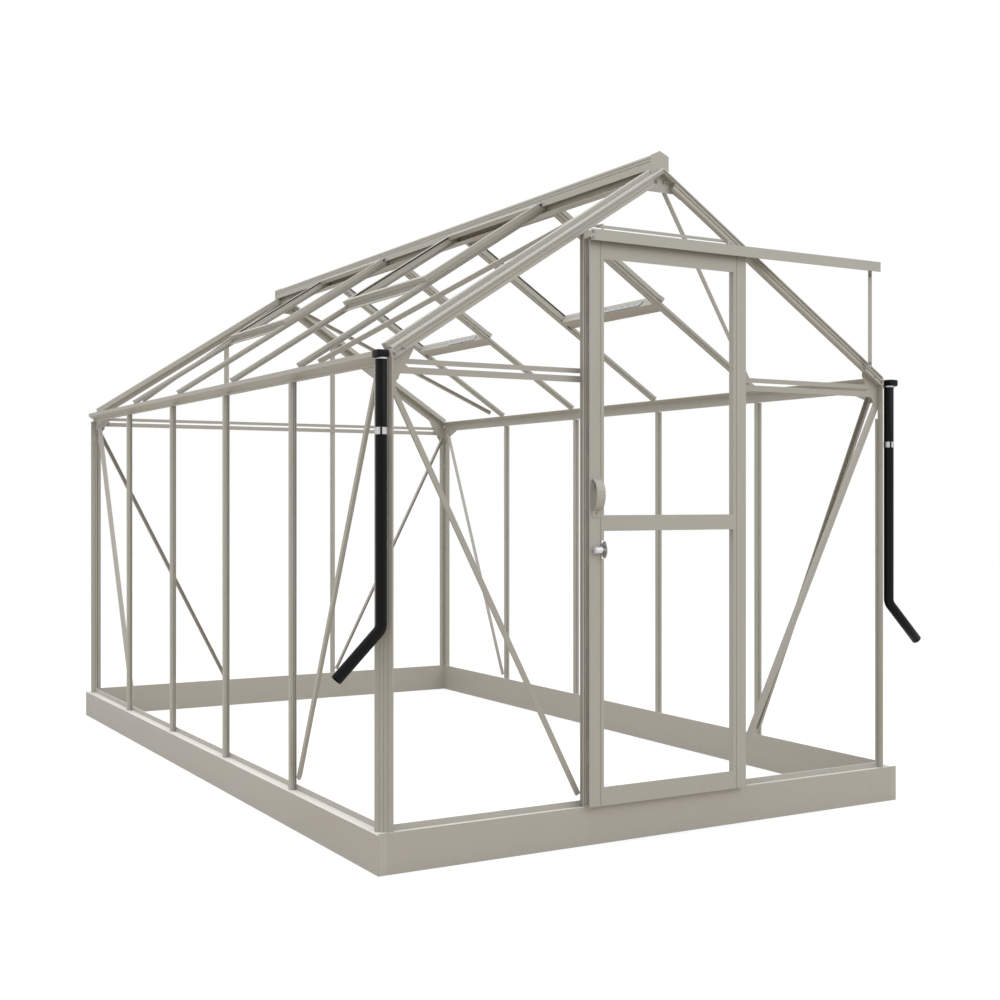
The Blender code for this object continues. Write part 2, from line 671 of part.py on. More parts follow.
def build_corner_braces():
    top_line = UNDERSIDE - GAP

    def rafter_line(depth):
        return slope_height(HALF_WIDTH - depth, top_line)
    leg_out = BAR_BACK + RAFTER_SHELF
    leg_in = leg_out + GUSSET_LEG
    reach = leg_out + GUSSET_REACH
    foot = WALL_TOP - GUSSET_DROP
    upper = WALL_TOP + TIE_UPPER
    lower = WALL_TOP - TIE_LOWER
    between = leg_out + GUSSET_BETWEEN
    gable_plate = [
        (BRACE_PLANE, foot), (leg_in, foot), (leg_out + GUSSET_WAIST, lower - TIE_LOWER_HEIGHT / 2),
        (between + GUSSET_SLANT, lower + TIE_LOWER_HEIGHT / 2),
        (between - GUSSET_SLANT, upper - TIE_UPPER_HEIGHT / 2),
        (leg_out + GUSSET_SHOULDER, upper + TIE_UPPER_HEIGHT / 2),
        (reach, WALL_TOP + GUSSET_RISE), (reach, rafter_line(reach)),
        (leg_out, rafter_line(leg_out)), (leg_out, POST_HEAD), (BRACE_PLANE, POST_HEAD)]
    side_plate = [
        (BRACE_PLANE, foot), (leg_in, foot), (leg_in, WALL_TOP - SIDE_GUSSET_DROP),
        (leg_out + SIDE_GUSSET_REACH, POST_HEAD), (BRACE_PLANE, POST_HEAD)]
    brace_low = SILL_TOP + BRACE_FOOT
    gable_head = (leg_out + GABLE_BRACE_HEAD, foot)
    side_head = (leg_out + SIDE_BRACE_HEAD, foot)
    brace_foot = (CORNER_LINE + BAY - BRACE_WIDTH, brace_low)
    tie_start = leg_in + GUSSET_LEG / 2
    wall_legs = (BRACE_LEG, BRACE_RIM)
    for end, y_sign in ENDS.items():
        for side, x_sign in SIDES.items():
            def in_gable(depth_x, z, layer, sx=x_sign, e=end):
                return wall_place(e, sx * (HALF_WIDTH - depth_x), BRACE_PLANE + layer, z)

            def in_side(depth_y, z, layer, sd=side, sy=y_sign):
                y = (FRONT if sy < 0 else REAR) - sy * depth_y
                return wall_place(sd, y, BRACE_PLANE + layer, z)

            def flat(name, outline, plane):
                return sweep(
                    name, outline,
                    lambda a, z, p=plane: p(a, z, 0.0), lambda a, z, p=plane: p(a, z, STRIP), COATED)
            node = flat("corner_brace_" + end + "_" + side, gable_plate, in_gable)
            tie_end = HALF_WIDTH - GABLE_POST
            if end == "rear" and side == "left":
                tie_end = HALF_WIDTH + GABLE_POST - GAP
            parts = [
                flat("side_gusset", side_plate, in_side),
                folded_bar(
                    "gable_brace", gable_head, brace_foot, in_gable, BRACE_WIDTH, wall_legs, GABLE_BRACE_LAP),
                folded_bar(
                    "side_brace", side_head, brace_foot, in_side, BRACE_WIDTH, wall_legs, SIDE_BRACE_LAP),
                flat("upper_tie", strip_outline(
                    (tie_start, upper), (tie_end, upper), TIE_UPPER_HEIGHT), in_gable),
                flat("lower_tie", strip_outline(
                    (tie_start, lower), (tie_end, lower), TIE_LOWER_HEIGHT), in_gable)]
            join_on(node, *parts)


def build_apex_braces():
    top_line = UNDERSIDE - GAP
    foot = ROOF_TOP - APEX_DROP
    shoulder = APEX_HALF + GUSSET_LEG
    plate = [
        (-APEX_HALF, foot), (APEX_HALF, foot), (shoulder, slope_height(shoulder, -RAFTER_DEPTH)),
        (shoulder, slope_height(shoulder, top_line)), (0.0, slope_height(0.0, top_line)),
        (-shoulder, slope_height(shoulder, top_line)), (-shoulder, slope_height(shoulder, -RAFTER_DEPTH))]
    start_run = (RIDGE_FLANGE_HALF + GUSSET_LEG) / COS
    end_run = (HALF_WIDTH - EAVE_SEAT_IN - GUSSET_LEG) / COS
    for end, y_sign in ENDS.items():
        def place(x, z, layer, e=end):
            return wall_place(e, x, BRACE_PLANE + layer, z)
        node = sweep(
            "apex_brace_" + end, plate,
            lambda x, z, p=place: p(x, z, 0.0), lambda x, z, p=place: p(x, z, STRIP), COATED)
        edge = FRONT if y_sign < 0 else REAR
        near = edge - y_sign * (BRACE_PLANE + ROOF_BRACE_INSET)
        far = edge - y_sign * (CORNER_LINE + BAY - ROOF_BRACE_SHORT)
        legs = (ROOF_BRACE_LEG, 0.0) if y_sign < 0 else (0.0, ROOF_BRACE_LEG)
        lug_y = sorted((edge - y_sign * (BRACE_PLANE + STRIP / 2), near))
        strips = []
        for side in SIDES:
            def under_roof(run, y, layer, sd=side):
                return slope_place(sd, run, y, top_line + GAP - layer)
            strips.append(folded_bar(
                "roof_brace", (start_run, near), (end_run, far), under_roof, ROOF_BRACE_WIDTH, legs, 0.0))
            strips.append(slope_block(
                "lug", side, (start_run - GAP, start_run + GUSSET_LEG / 2), lug_y,
                (top_line - STRIP, top_line), COATED))
        join_on(node, *strips)


def build_vents():
    start_run = (RIDGE_HALF_WIDTH + VENT_RIDGE_GAP) / COS
    end_run = start_run + VENT_RUN
    rail_run = end_run - VENT_RAIL
    top = GAP + VENT_HEIGHT
    hinge_run = (RIDGE_HALF_WIDTH + GAP + HINGE_RADIUS - HINGE_LIFT * SIN) / COS
    for side in SIDES:
        for end, (low, high) in VENT_BAYS.items():
            outer = (low - VENT_OVERLAP, high + VENT_OVERLAP)
            inner = (outer[0] + VENT_RAIL, outer[1] - VENT_RAIL)
            vent = slope_block(
                "roof_vent_" + side + "_" + end, side, (start_run, end_run), outer, (GAP, top), COATED)
            hole = slope_block(
                "hole", side, (start_run + VENT_RAIL, rail_run), inner, (-VENT_HEIGHT, 2 * top), COATED)
            cut_from(vent, hole)
            ears = slope_block(
                "lower_rail", side, (rail_run + GAP, end_run + 2 * GAP),
                (outer[0] - VENT_EAR, outer[1] + VENT_EAR), (GAP * 2, top + GAP), COATED)
            neck = slope_block(
                "hinge_neck", side, (hinge_run, start_run + VENT_RAIL / 2),
                (outer[0] + VENT_EAR, outer[1] - VENT_EAR),
                (HINGE_LIFT - HINGE_NECK / 2, HINGE_LIFT + HINGE_NECK / 2), COATED)
            bead_outline = circle(HINGE_RADIUS, HINGE_RADIUS, SMALL_SIDES)
            bead = sweep(
                "hinge_bead", bead_outline,
                lambda a, b, sd=side, y=outer[0] + VENT_EAR:
                    slope_place(sd, hinge_run + a, y, HINGE_LIFT + b),
                lambda a, b, sd=side, y=outer[1] - VENT_EAR:
                    slope_place(sd, hinge_run + a, y, HINGE_LIFT + b), COATED)
            join_on(vent, ears, neck, bead)
            hinge = slope_place(side, hinge_run, (low + high) / 2, HINGE_LIFT)
            set_origin(vent, hinge)
            build_sill(side, end, low, high, rail_run)
            build_stay_bar(side, end, (low + high) / 2, rail_run)


def build_sill(side, end, low, high, rail_run):
    start = low + BAR_WIDTH / 2 + GAP
    stop = high - BAR_WIDTH / 2 - GAP
    near = rail_run + 2 * GAP
    far = near + SILL_WIDTH
    flange = far + SILL_FLANGE
    flange_top = SILL_FLANGE_WALL - SILL_FLANGE_DROP
    outline = [
        (near, -BAR_DEPTH), (far, -BAR_DEPTH), (far, -SILL_FLANGE_DROP), (flange, -SILL_FLANGE_DROP),
        (flange, flange_top), (far, flange_top), (far, -SILL_GROOVE), (far - SILL_GROOVE, -SILL_GROOVE),
        (far - SILL_GROOVE, -GAP), (near, -GAP)]
    sweep(
        "vent_sill_" + side + "_" + end, outline,
        lambda run, rise: slope_place(side, run, start, rise),
        lambda run, rise: slope_place(side, run, stop, rise), COATED)


def build_stay_bar(side, end, centre, rail_run):
    """Perforated bar beside the sill: a lug turns on the vent's rail, the free tip hooks up."""
    far = rail_run - GAP
    near = far - STAY_BAR_WALL
    pivot = centre + STAY_BAR_OFFSET
    tip = pivot - STAY_BAR_LENGTH
    radius = STAY_BAR_HEIGHT / 2
    low = -STAY_BAR_DROP - radius
    high = -STAY_BAR_DROP + radius
    hook = high + STAY_BAR_HOOK
    lug = [
        (pivot + radius * math.cos(t), STAY_PIN_RISE + radius * math.sin(t))
        for t in [math.pi - math.pi * k / 6 for k in range(7)]]
    outline = lug + [
        (pivot + radius, low + radius / 2), (pivot + radius / 2, low), (tip + 4 * radius, low),
        (tip + 2 * radius, low + radius / 2), (tip + radius / 2, low + 3 * radius / 2), (tip, hook),
        (tip + radius, hook), (tip + 2 * radius, high), (tip + 4 * radius, high),
        (pivot - 2 * radius, high), (pivot - radius, high + radius / 2)]

    def layer(run):
        return lambda y, rise: slope_place(side, run, y, rise)
    bar = sweep("vent_stay_" + side + "_" + end, outline, layer(near), layer(far), BRIGHT_METAL)
    holes = []
    for k in range(1, STAY_HOLES + 1):
        y0 = tip + STAY_HOLE_PITCH * k
        ring = circle(STAY_HOLE_RADIUS, STAY_HOLE_RADIUS, SMALL_SIDES)
        holes.append(sweep(
            "hole", [(y0 + a, b - STAY_BAR_DROP) for a, b in ring],
            layer(near - STAY_BAR_WALL), layer(far + STAY_BAR_WALL), BRIGHT_METAL))
    cut_from(bar, *holes)
    set_origin(bar, slope_place(side, (near + far) / 2, pivot, STAY_PIN_RISE))


def build_door():
    face = FRONT - DOOR_FACE
    back = face + DOOR_DEPTH
    lip_back = face + GLAZING_LIP_WALL
    flange_top = TRACK_BOTTOM + HEAD_FLANGE
    door = box("sliding_door", (-DOOR_HALF, DOOR_HALF), (face, back), (DOOR_FOOT, flange_top), COATED)
    inside = DOOR_HALF - STILE
    mid_top = MID_RAIL_HEIGHT + MID_RAIL
    pane_foot = DOOR_FOOT + BOTTOM_RAIL
    pane_head = DOOR_HEAD - TOP_RAIL
    panes = ((pane_foot, MID_RAIL_HEIGHT), (mid_top, pane_head))
    beyond = DOOR_HALF + STILE
    above = (DOOR_HEAD, flange_top + STILE)
    cuts = [box("track_room", (-beyond, beyond), (face + HANGER_WALL, back + STILE), above, COATED)]
    for low, high in panes:
        cuts.append(box("light", (-inside, inside), (face - STILE, back + STILE), (low, high), COATED))
        edge = inside + STILE_REBATE
        cuts.append(box(
            "rebate", (-edge, edge), (lip_back, back + STILE),
            (low - GLAZING_LIP, high + GLAZING_LIP), COATED))
    notch = (LOCK_HEIGHT - LOCK_NOTCH, LOCK_HEIGHT + LOCK_NOTCH)
    cuts.append(box(
        "lock_notch", (TURN_PLACE - TURN_CLEARANCE, -inside + STILE_REBATE), (face - STILE, back + STILE),
        notch, COATED))
    cut_from(door, *cuts)
    parts = []
    hanger_front = FRONT - TRACK_BACK - TRACK_WALL - TRACK_RAIL - HANGER_WALL - GAP
    hanger_back = hanger_front + HANGER_WALL
    axle = RAIL_FOOT + TRACK_WALL + GAP + ROLLER_RADIUS
    for x_sign in (-1, 1):
        x0 = x_sign * (DOOR_HALF - HANGER_INSET)
        parts.append(box(
            "hanger", (x0 - HANGER_WIDTH / 2, x0 + HANGER_WIDTH / 2), (hanger_front, hanger_back),
            (DOOR_HEAD - TOP_RAIL / 2, axle + ROLLER_RADIUS / 2), COATED))
        ring = circle(ROLLER_RADIUS, ROLLER_RADIUS, ROUND_SIDES)
        wheel_back = hanger_back + TRACK_RAIL / 2 + ROLLER_WIDTH / 2
        parts.append(sweep(
            "roller", [(x0 + a, axle + b) for a, b in ring],
            lambda x, z, y=hanger_back - HANGER_WALL / 2: (x, y, z),
            lambda x, z, y=wheel_back: (x, y, z), COATED))
        shoe_x = x_sign * (DOOR_HALF - HANGER_INSET)
        shoe_front = FRONT + GUIDE_LIP + GAP
        parts.append(box(
            "guide_shoe", (shoe_x - SHOE_LENGTH / 2, shoe_x + SHOE_LENGTH / 2),
            (shoe_front, shoe_front + SHOE_WALL),
            (BASE_HEIGHT + GAP, DOOR_FOOT + BOTTOM_RAIL / 2), COATED))
    join_on(door, *parts)


def build_track():
    left = -DOOR_HALF - TRACK_LEFT_OVERHANG
    stay_left = DOOR_HALF + DOOR_TRAVEL + STAY_CLEARANCE
    stay_right = stay_left + STAY_WIDTH
    right = stay_right + TRACK_END_OVERHANG
    front = FRONT - TRACK_FRONT
    back = FRONT - TRACK_BACK
    rail = back - TRACK_WALL - TRACK_RAIL
    top = TRACK_TOP
    shelf = top - TRACK_LIP
    outline = [
        (front, TRACK_BOTTOM), (front + TRACK_WALL, TRACK_BOTTOM),
        (front + TRACK_WALL, shelf - TRACK_WALL), (back - TRACK_WALL, shelf - TRACK_WALL),
        (back - TRACK_WALL, RAIL_FOOT + TRACK_WALL), (rail, RAIL_FOOT + TRACK_WALL),
        (rail, RAIL_FOOT), (back, RAIL_FOOT), (back, shelf), (front + TRACK_WALL, shelf),
        (front + TRACK_WALL, top), (front, top)]
    track = sweep("door_track", outline, lambda y, z: (left, y, z), lambda y, z: (right, y, z), COATED)
    plate = (RAIL_FOOT + GAP, shelf - GAP)
    parts = []
    for x_range in ((left + GAP, left + TRACK_WALL), (right - TRACK_WALL, right - GAP)):
        parts.append(box("end_stop", x_range, (front + GAP, back - GAP), plate, COATED))
    header_low = top + HEADER_RISE
    header_high = header_low + HEADER_HEIGHT

    def header_end(x_sign):
        return lambda z: x_sign * ((ROOF_TOP - RAFTER_DEPTH / COS - z) / TAN - GAP)
    header_face = FRONT + BAR_SETBACK
    header_back = header_face + HEADER_DEPTH
    header = [(header_face, header_low), (header_back, header_low),
              (header_back, header_high), (header_face, header_high)]
    parts.append(sweep(
        "header", header, lambda y, z: (header_end(-1)(z), y, z),
        lambda y, z: (header_end(1)(z), y, z), COATED))
    for x_sign in (-1, 1):
        x0 = header_end(x_sign)(header_high) - x_sign * HEADER_BRACKET
        span = (x0 - HEADER_BRACKET / 2, x0 + HEADER_BRACKET / 2)
        upright = (back - TRACK_WALL, back - GAP)
        parts.append(box("bracket", span, upright, (shelf - TRACK_WALL, header_high - GAP), COATED))
        parts.append(box(
            "bracket", span, (back - TRACK_WALL / 2, header_face + HEADER_DEPTH / 2),
            (header_low + GAP, header_high - 2 * GAP), COATED))
    join_on(track, *parts)
    build_track_stay(stay_left, stay_right)


def build_track_stay(left, right):
    """Flat strip from under the free end of the track, with a foot on the rafter."""
    middle = (left + right) / 2
    foot = slope_height(middle, -RAFTER_DEPTH) + RAFTER_SLOT + BAR_LAYER
    face = FRONT - STAY_SETBACK
    back = face + STAY_WALL
    reach = FRONT + BAR_SETBACK - GAP
    head = RAIL_FOOT - GAP
    outline = [
        (face, foot), (reach, foot), (reach, foot + STAY_WALL), (back, foot + STAY_WALL),
        (back, head), (face, head)]
    sweep("track_stay", outline, lambda y, z: (left, y, z), lambda y, z: (right, y, z), COATED)


def build_handle():
    """Bent strap: a flat tab, a half-oval bow, and a second flat tab."""
    tab = FRONT - DOOR_FACE - GAP - HANDLE_WALL / 2
    bow_low = HANDLE_HEIGHT + HANDLE_TAB_LOW
    bow_middle = bow_low + HANDLE_BOW / 2
    top = bow_low + HANDLE_BOW + HANDLE_TAB_HIGH
    depth = HANDLE_REACH - HANDLE_WALL
    path = [(tab, HANDLE_HEIGHT)]
    for k in range(13):
        t = -math.pi / 2 + math.pi * k / 12
        path.append((tab - depth * math.cos(t), bow_middle + HANDLE_BOW / 2 * math.sin(t)))
    path.append((tab, top))
    ways = [(path[k + 1][0] - path[k][0], path[k + 1][1] - path[k][1]) for k in range(len(path) - 1)]
    inner, outer = [], []
    for k, (y, z) in enumerate(path):
        before = Vector(ways[max(k - 1, 0)]).normalized()
        after = Vector(ways[min(k, len(ways) - 1)]).normalized()
        along = (before + after).normalized()
        spread = HANDLE_WALL / 2 / max(along.dot(after), 0.5)
        outer.append((y - along.y * spread, z + along.x * spread))
        inner.append((y + along.y * spread, z - along.x * spread))
    outline = outer + inner[::-1]
    centre = -DOOR_HALF + HANDLE_PLACE
    handle = sweep(
        "door_handle", outline,
        lambda y, z: (centre - HANDLE_WIDTH / 2, y, z),
        lambda y, z: (centre + HANDLE_WIDTH / 2, y, z), COATED)
    shade_round(handle)


def build_lock():
    """Barrel on the stile's face with an oval turn at its end; it turns about X."""
    y0 = FRONT - DOOR_FACE - GAP - LOCK_RADIUS
    start = -DOOR_HALF + LOCK_PLACE
    turn = TURN_PLACE

    def solid(name, radius_y, radius_z, low, high):
        ring = circle(radius_y, radius_z, ROUND_SIDES)
        return sweep(
            name, [(y0 + a, LOCK_HEIGHT + b) for a, b in ring],
            lambda y, z: (low, y, z), lambda y, z: (high, y, z), BRIGHT_METAL)
    lock = solid("door_lock", LOCK_RADIUS, LOCK_RADIUS, start, start + LOCK_LENGTH)
    spindle = solid(
        "spindle", LOCK_SPINDLE, LOCK_SPINDLE, start + LOCK_LENGTH / 2, turn + TURN_WALL / 2)
    plate = solid("turn", TURN_HALF_WIDTH, TURN_HALF_HEIGHT, turn, turn + TURN_WALL)
    join_on(lock, spindle, plate)
    set_origin(lock, ((start + turn) / 2, y0, LOCK_HEIGHT))
    shade_round(lock)


def tube(name, path, radius, wall, finish):
    """Round tube with mitred bends along points in one upright plane, open at both ends."""
    builder = bmesh.new()
    points = [Vector(point) for point in path]
    rings = []
    for k, point in enumerate(points):
        before = (points[k] - points[k - 1]).normalized() if k else (points[1] - points[0]).normalized()
        last = len(points) - 1
        after = (points[k + 1] - points[k]).normalized() if k < last else before
        along = (before + after).normalized()
        across = Vector((0.0, 1.0, 0.0))
        third = along.cross(across) / max(along.dot(before), 0.5)
        pair = []
        for r in (radius, radius - wall):
            pair.append([
                builder.verts.new(point + across * (r * math.cos(t)) + third * (r * math.sin(t)))
                for t in [2 * math.pi * j / ROUND_SIDES for j in range(ROUND_SIDES)]])
        rings.append(pair)
    for j in range(ROUND_SIDES):
        m = (j + 1) % ROUND_SIDES
        for k in range(len(rings) - 1):
            for level in (0, 1):
                low, high = rings[k][level], rings[k + 1][level]
                builder.faces.new((low[j], low[m], high[m], high[j]))
        for pair in (rings[0], rings[-1]):
            builder.faces.new((pair[0][j], pair[0][m], pair[1][m], pair[1][j]))
    return new_object(name, builder, finish)


def build_downpipes():
    inset = BRACE_PLANE - GAP - PIPE_RADIUS
    head = WALL_TOP + COLLAR_RISE + COLLAR_HEIGHT
    slant = SPOUT_LENGTH / 12
    for side, x_sign in SIDES.items():
        x0 = x_sign * (HALF_WIDTH - inset)
        y0 = FRONT + inset
        bend = Vector((x0, y0, PIPE_BEND_HEIGHT))
        out = Vector((x_sign * math.sin(SPOUT_ANGLE), 0.0, -math.cos(SPOUT_ANGLE)))
        path = [
            (x0, y0, head - 2 * GAP), tuple(bend + Vector((0, 0, slant))),
            tuple(bend + out * slant), tuple(bend + out * SPOUT_LENGTH)]
        pipe = tube("downpipe_" + side, path, PIPE_RADIUS, PIPE_WALL, BLACK_PIPE)
        inner_edge = HALF_WIDTH - BRACE_PLANE + GAP
        outer_edge = HALF_WIDTH - inset + PIPE_RADIUS + COLLAR_MARGIN
        reach_in = HALF_WIDTH - inset - inner_edge
        reach_out = outer_edge - (HALF_WIDTH - inset)
        builder = bmesh.new()
        bore = PIPE_RADIUS - PIPE_WALL / 2
        rings = []
        for z in (WALL_TOP + COLLAR_RISE, head):
            outer_ring, inner_ring = [], []
            for j in range(ROUND_SIDES):
                t = 2 * math.pi * j / ROUND_SIDES
                c, s = math.cos(t), math.sin(t)
                square = 1 / max(abs(c), abs(s)) ** COLLAR_SQUARE
                x_reach = reach_out if c > 0 else reach_in
                y_reach = reach_in if s > 0 else reach_out
                edge_x = x0 + x_sign * min(c * square, 1.0) * x_reach
                edge_y = y0 + s * square * y_reach
                outer_ring.append(builder.verts.new((edge_x, edge_y, z)))
                inner_ring.append(builder.verts.new((x0 + x_sign * c * bore, y0 + s * bore, z)))
            rings.append((outer_ring, inner_ring))
        for j in range(ROUND_SIDES):
            m = (j + 1) % ROUND_SIDES
            for level in (0, 1):
                low, high = rings[0][level], rings[1][level]
                builder.faces.new((low[j], low[m], high[m], high[j]))
            for ring in rings:
                builder.faces.new((ring[0][j], ring[0][m], ring[1][m], ring[1][j]))
        collar = new_object("collar", builder, BLACK_PIPE)
        join_on(pipe, collar)
        shade_round(pipe)


def main():
    clear_scene()
    build_base()
    build_corner_posts()
    build_wall_bars()
    build_eaves()
    build_rafters()
    build_roof_bars()
    build_ridge()
    build_corner_braces()
    build_apex_braces()
    build_vents()
    build_door()
    build_track()
    build_handle()
    build_lock()
    build_downpipes()


main()
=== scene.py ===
"""Looks of the apex greenhouse: powder coat, plastic, bright metal, fastenings, studio and camera."""

import math

import bmesh
import bpy
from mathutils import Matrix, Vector


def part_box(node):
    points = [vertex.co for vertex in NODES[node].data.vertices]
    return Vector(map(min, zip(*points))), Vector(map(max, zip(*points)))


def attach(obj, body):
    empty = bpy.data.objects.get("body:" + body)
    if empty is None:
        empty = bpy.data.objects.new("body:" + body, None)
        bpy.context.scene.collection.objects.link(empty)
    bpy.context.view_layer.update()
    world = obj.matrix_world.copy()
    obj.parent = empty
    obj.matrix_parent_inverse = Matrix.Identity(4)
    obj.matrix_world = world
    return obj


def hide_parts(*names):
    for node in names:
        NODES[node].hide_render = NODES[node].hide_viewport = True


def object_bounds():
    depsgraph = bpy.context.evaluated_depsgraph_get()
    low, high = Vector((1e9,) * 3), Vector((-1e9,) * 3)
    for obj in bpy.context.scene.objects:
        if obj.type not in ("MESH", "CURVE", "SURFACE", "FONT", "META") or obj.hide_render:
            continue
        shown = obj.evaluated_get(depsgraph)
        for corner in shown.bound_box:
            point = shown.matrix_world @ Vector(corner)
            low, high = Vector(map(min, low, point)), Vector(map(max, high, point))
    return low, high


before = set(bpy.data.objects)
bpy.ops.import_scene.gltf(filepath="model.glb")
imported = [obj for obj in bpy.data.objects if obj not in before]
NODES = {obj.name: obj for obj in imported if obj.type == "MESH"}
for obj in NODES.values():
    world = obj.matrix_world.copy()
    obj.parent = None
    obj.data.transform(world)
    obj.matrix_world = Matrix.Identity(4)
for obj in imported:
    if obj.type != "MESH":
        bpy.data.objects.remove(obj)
cad_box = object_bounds()

# Places read from the frame
SIDES = {"left": -1, "right": 1}
ENDS = {"front": -1, "rear": 1}


def corners(node):
    low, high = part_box(node)
    return Vector(low), Vector(high)


BASE_LOW, BASE_HIGH = corners("base_plinth_left")
HALF_WIDTH = -BASE_LOW.x
FRONT = BASE_LOW.y
REAR = BASE_HIGH.y
DOOR_LOW, DOOR_HIGH = corners("sliding_door")
DOOR_FACE = FRONT - 0.020
TRACK_LOW = corners("door_track")[0]
FASCIA_TOP = TRACK_LOW.z + 0.032
STAY_LOW, STAY_HIGH = corners("track_stay")
HANDLE_LOW, HANDLE_HIGH = corners("door_handle")
RIDGE_HIGH = corners("ridge_beam")[1]
LOCK_LOW, LOCK_HIGH = corners("door_lock")
ROOF_PITCH = math.radians(33.0)
COS = math.cos(ROOF_PITCH)
SIN = math.sin(ROOF_PITCH)
ROOF_TOP = RIDGE_HIGH.z - 0.0382  # where the two slopes' outer faces would meet
BARS = [sum(corners("roof_bar_left_" + str(k)), Vector()).y / 2 for k in (1, 2, 3, 4)]
VENT_BAYS = {"front": BARS[:2], "rear": BARS[2:]}

# Colours as they look, in sRGB shares
COAT_BASE = (0.705, 0.697, 0.668)
COAT_FRAME = (0.678, 0.675, 0.643)
COAT_DOOR = (0.684, 0.685, 0.655)
COAT_BRACE = (0.672, 0.666, 0.636)
# paler coat of the corner laps: a painted highlight where the corner catches light
LAP_HIGHLIGHT_COAT = (0.725, 0.718, 0.690)
# painted highlight laid on the up-facing faces of the base
PAINTED_TOP_HIGHLIGHT = (0.93, 0.93, 0.90)
DUST = (0.66, 0.64, 0.60)
# brown of the door's joint lines, which also paint shade along the stiles' glazing edges
JOINT_AND_SHADE_BROWN = (0.60, 0.575, 0.54)
# grey of the strips that paint shade on the door's side faces
SIDE_SHADE_GREY = (0.50, 0.49, 0.47)
PLASTIC_BLACK = (0.05, 0.05, 0.055)
CAP_BLACK = (0.07, 0.07, 0.07)
RUBBER_BLACK = (0.13, 0.13, 0.13)
ZINC = (0.80, 0.80, 0.81)
DULL_ZINC = (0.62, 0.61, 0.60)
NICKEL = (0.86, 0.86, 0.87)

# Coat patterns: waves to a metre, and the height that dust reaches
CLOUD_SCALE = 5.0
STREAK_STRETCH = (45.0, 45.0, 1.2)
SPECK_SCALE = 60.0
RUB_AND_HIGHLIGHT_SCALE = 120.0
DUST_REACH = 0.22
UP_FACING = 0.95
# edge lightening: partly rubbed wear, partly a painted highlight along the edges
EDGE_RUB_AND_HIGHLIGHT = 1.16

# Camera, solved from the photograph
CAMERA_FROM_CORNER = Vector((-1.5636, -3.3547, 1.0))
CAMERA_TURN = math.radians(-30.0)
CAMERA_LENS = 50.0

# Rain pipes, as the frame has them
PIPE_RADIUS = 0.016
PIPE_BORE = 0.014
PIPE_INSET = 0.016
PIPE_HEAD = 1.4007
PIPE_BEND = 0.657
PIPE_BEND_RADIUS = 0.034
PIPE_SIDES = 48
PIPE_EASE = 0.0008
BEND_STEPS = 8
SPOUT_LENGTH = 0.184
SPOUT_SLOPE = math.radians(45.0)
CAP_FOOT = 1.3820
CAP_TOP = 1.4010
CAP_SHOULDER = CAP_TOP - 0.0052
CAP_SQUARENESS = 0.72
CAP_LOBE = 0.0042
CAP_MOUTH = 0.0112
CAP_REACH_IN = 0.0160
CAP_REACH_OUT = 0.0225
CLIP_HEIGHT = 1.1848
CLIP_TALL = 0.019
CLIP_OPENING = Vector((-0.42, -0.907, 0.0))
CLIP_OPENING_TURN = math.radians(18.0)
CLIP_INNER = PIPE_RADIUS + 0.0001
CLIP_OUTER = PIPE_RADIUS + 0.0011
CLIP_EASE = 0.0003
RIM_DROP = 0.0058
RIM_TALL = 0.0044

# Fastenings: head radii, and places as (out from the middle, height)
SMALL_BOLT = 0.0045
TRACK_END_BOLT = SMALL_BOLT * 0.8
CLIP_SCREW = 0.0035
LOCK_SCREW = 0.0028
BASE_SCREW = 0.0024
PLATE_PLACE = 0.0323
PLATE_THICK = 0.002
FLANGE_PLACE = 0.012
APEX_BOLTS = [(0.0403, 1.9412), (0.0140, 1.9583)]
FLANGE_BOLTS = [(0.8948, 1.3937), (0.8680, 1.4102)]
GUSSET_BOLTS = [(0.8990, 1.3250), (0.8780, 1.3320), (0.8560, 1.3517), (0.8500, 1.3760)]
TRACK_BOLT_IN = 0.0065
TRACK_BOLT_RISE = 0.007

# Door: joint lines that partly paint shade, handle tab and grey strips of painted shade on the leaf's sides
STILE_EDGE = 0.2517
JOINT_HALF = 0.0022
HANDLE_FACE_DEPTH = 0.0025
TAB_DROPS = (0.034, 0.010)
TAB_WIDTH = 0.020
TAB_THICK = 0.0024
SIDE_SHADE_BACK = 0.0125
SIDE_SHADE_WIDTH = 0.016

# Base laps and vent seals
BASE_TOP = 0.108
BASE_SCREW_IN = 0.0185
BASE_SCREW_HEIGHT = 0.0247
LAP_EDGE = 0.0008
LAP_WIDTH = 0.0240
LAP_CLEAR = 0.0005
LAP_THICK = 0.0006
STRIP_THICK = 0.0012
STRIP_EASE = 0.0004
SEAL_PLACE = 0.008
SEAL_RUN = (0.0645, 0.5435)
SEAL_RISE = 0.0112
SEAL_TALL = 0.0045


def linear(colour):
    return tuple(c / 12.92 if c <= 0.04045 else ((c + 0.055) / 1.055) ** 2.4 for c in colour) + (1.0,)


# Shared effects

def new_group(name, inputs, outputs):
    group = bpy.data.node_groups.new(name, "ShaderNodeTree")
    for label, kind, value in inputs:
        socket = group.interface.new_socket(label, in_out="INPUT", socket_type=kind)
        socket.default_value = value
    for label, kind in outputs:
        group.interface.new_socket(label, in_out="OUTPUT", socket_type=kind)
    tree = group.nodes
    return group, tree, group.links, tree.new("NodeGroupInput"), tree.new("NodeGroupOutput")


def math_node(tree, links, operation, first, second=0.0):
    node = tree.new("ShaderNodeMath")
    node.operation = operation
    for socket, value in zip(node.inputs, (first, second)):
        if isinstance(value, (int, float)):
            socket.default_value = value
        else:
            links.new(value, socket)
    return node.outputs[0]


def mix_colour(tree, links, factor, first, second):
    node = tree.new("ShaderNodeMix")
    node.data_type = "RGBA"
    for socket, value in ((node.inputs["Factor"], factor), (node.inputs[6], first), (node.inputs[7], second)):
        if isinstance(value, (int, float, tuple)):
            socket.default_value = value
        else:
            links.new(value, socket)
    return node.outputs[2]


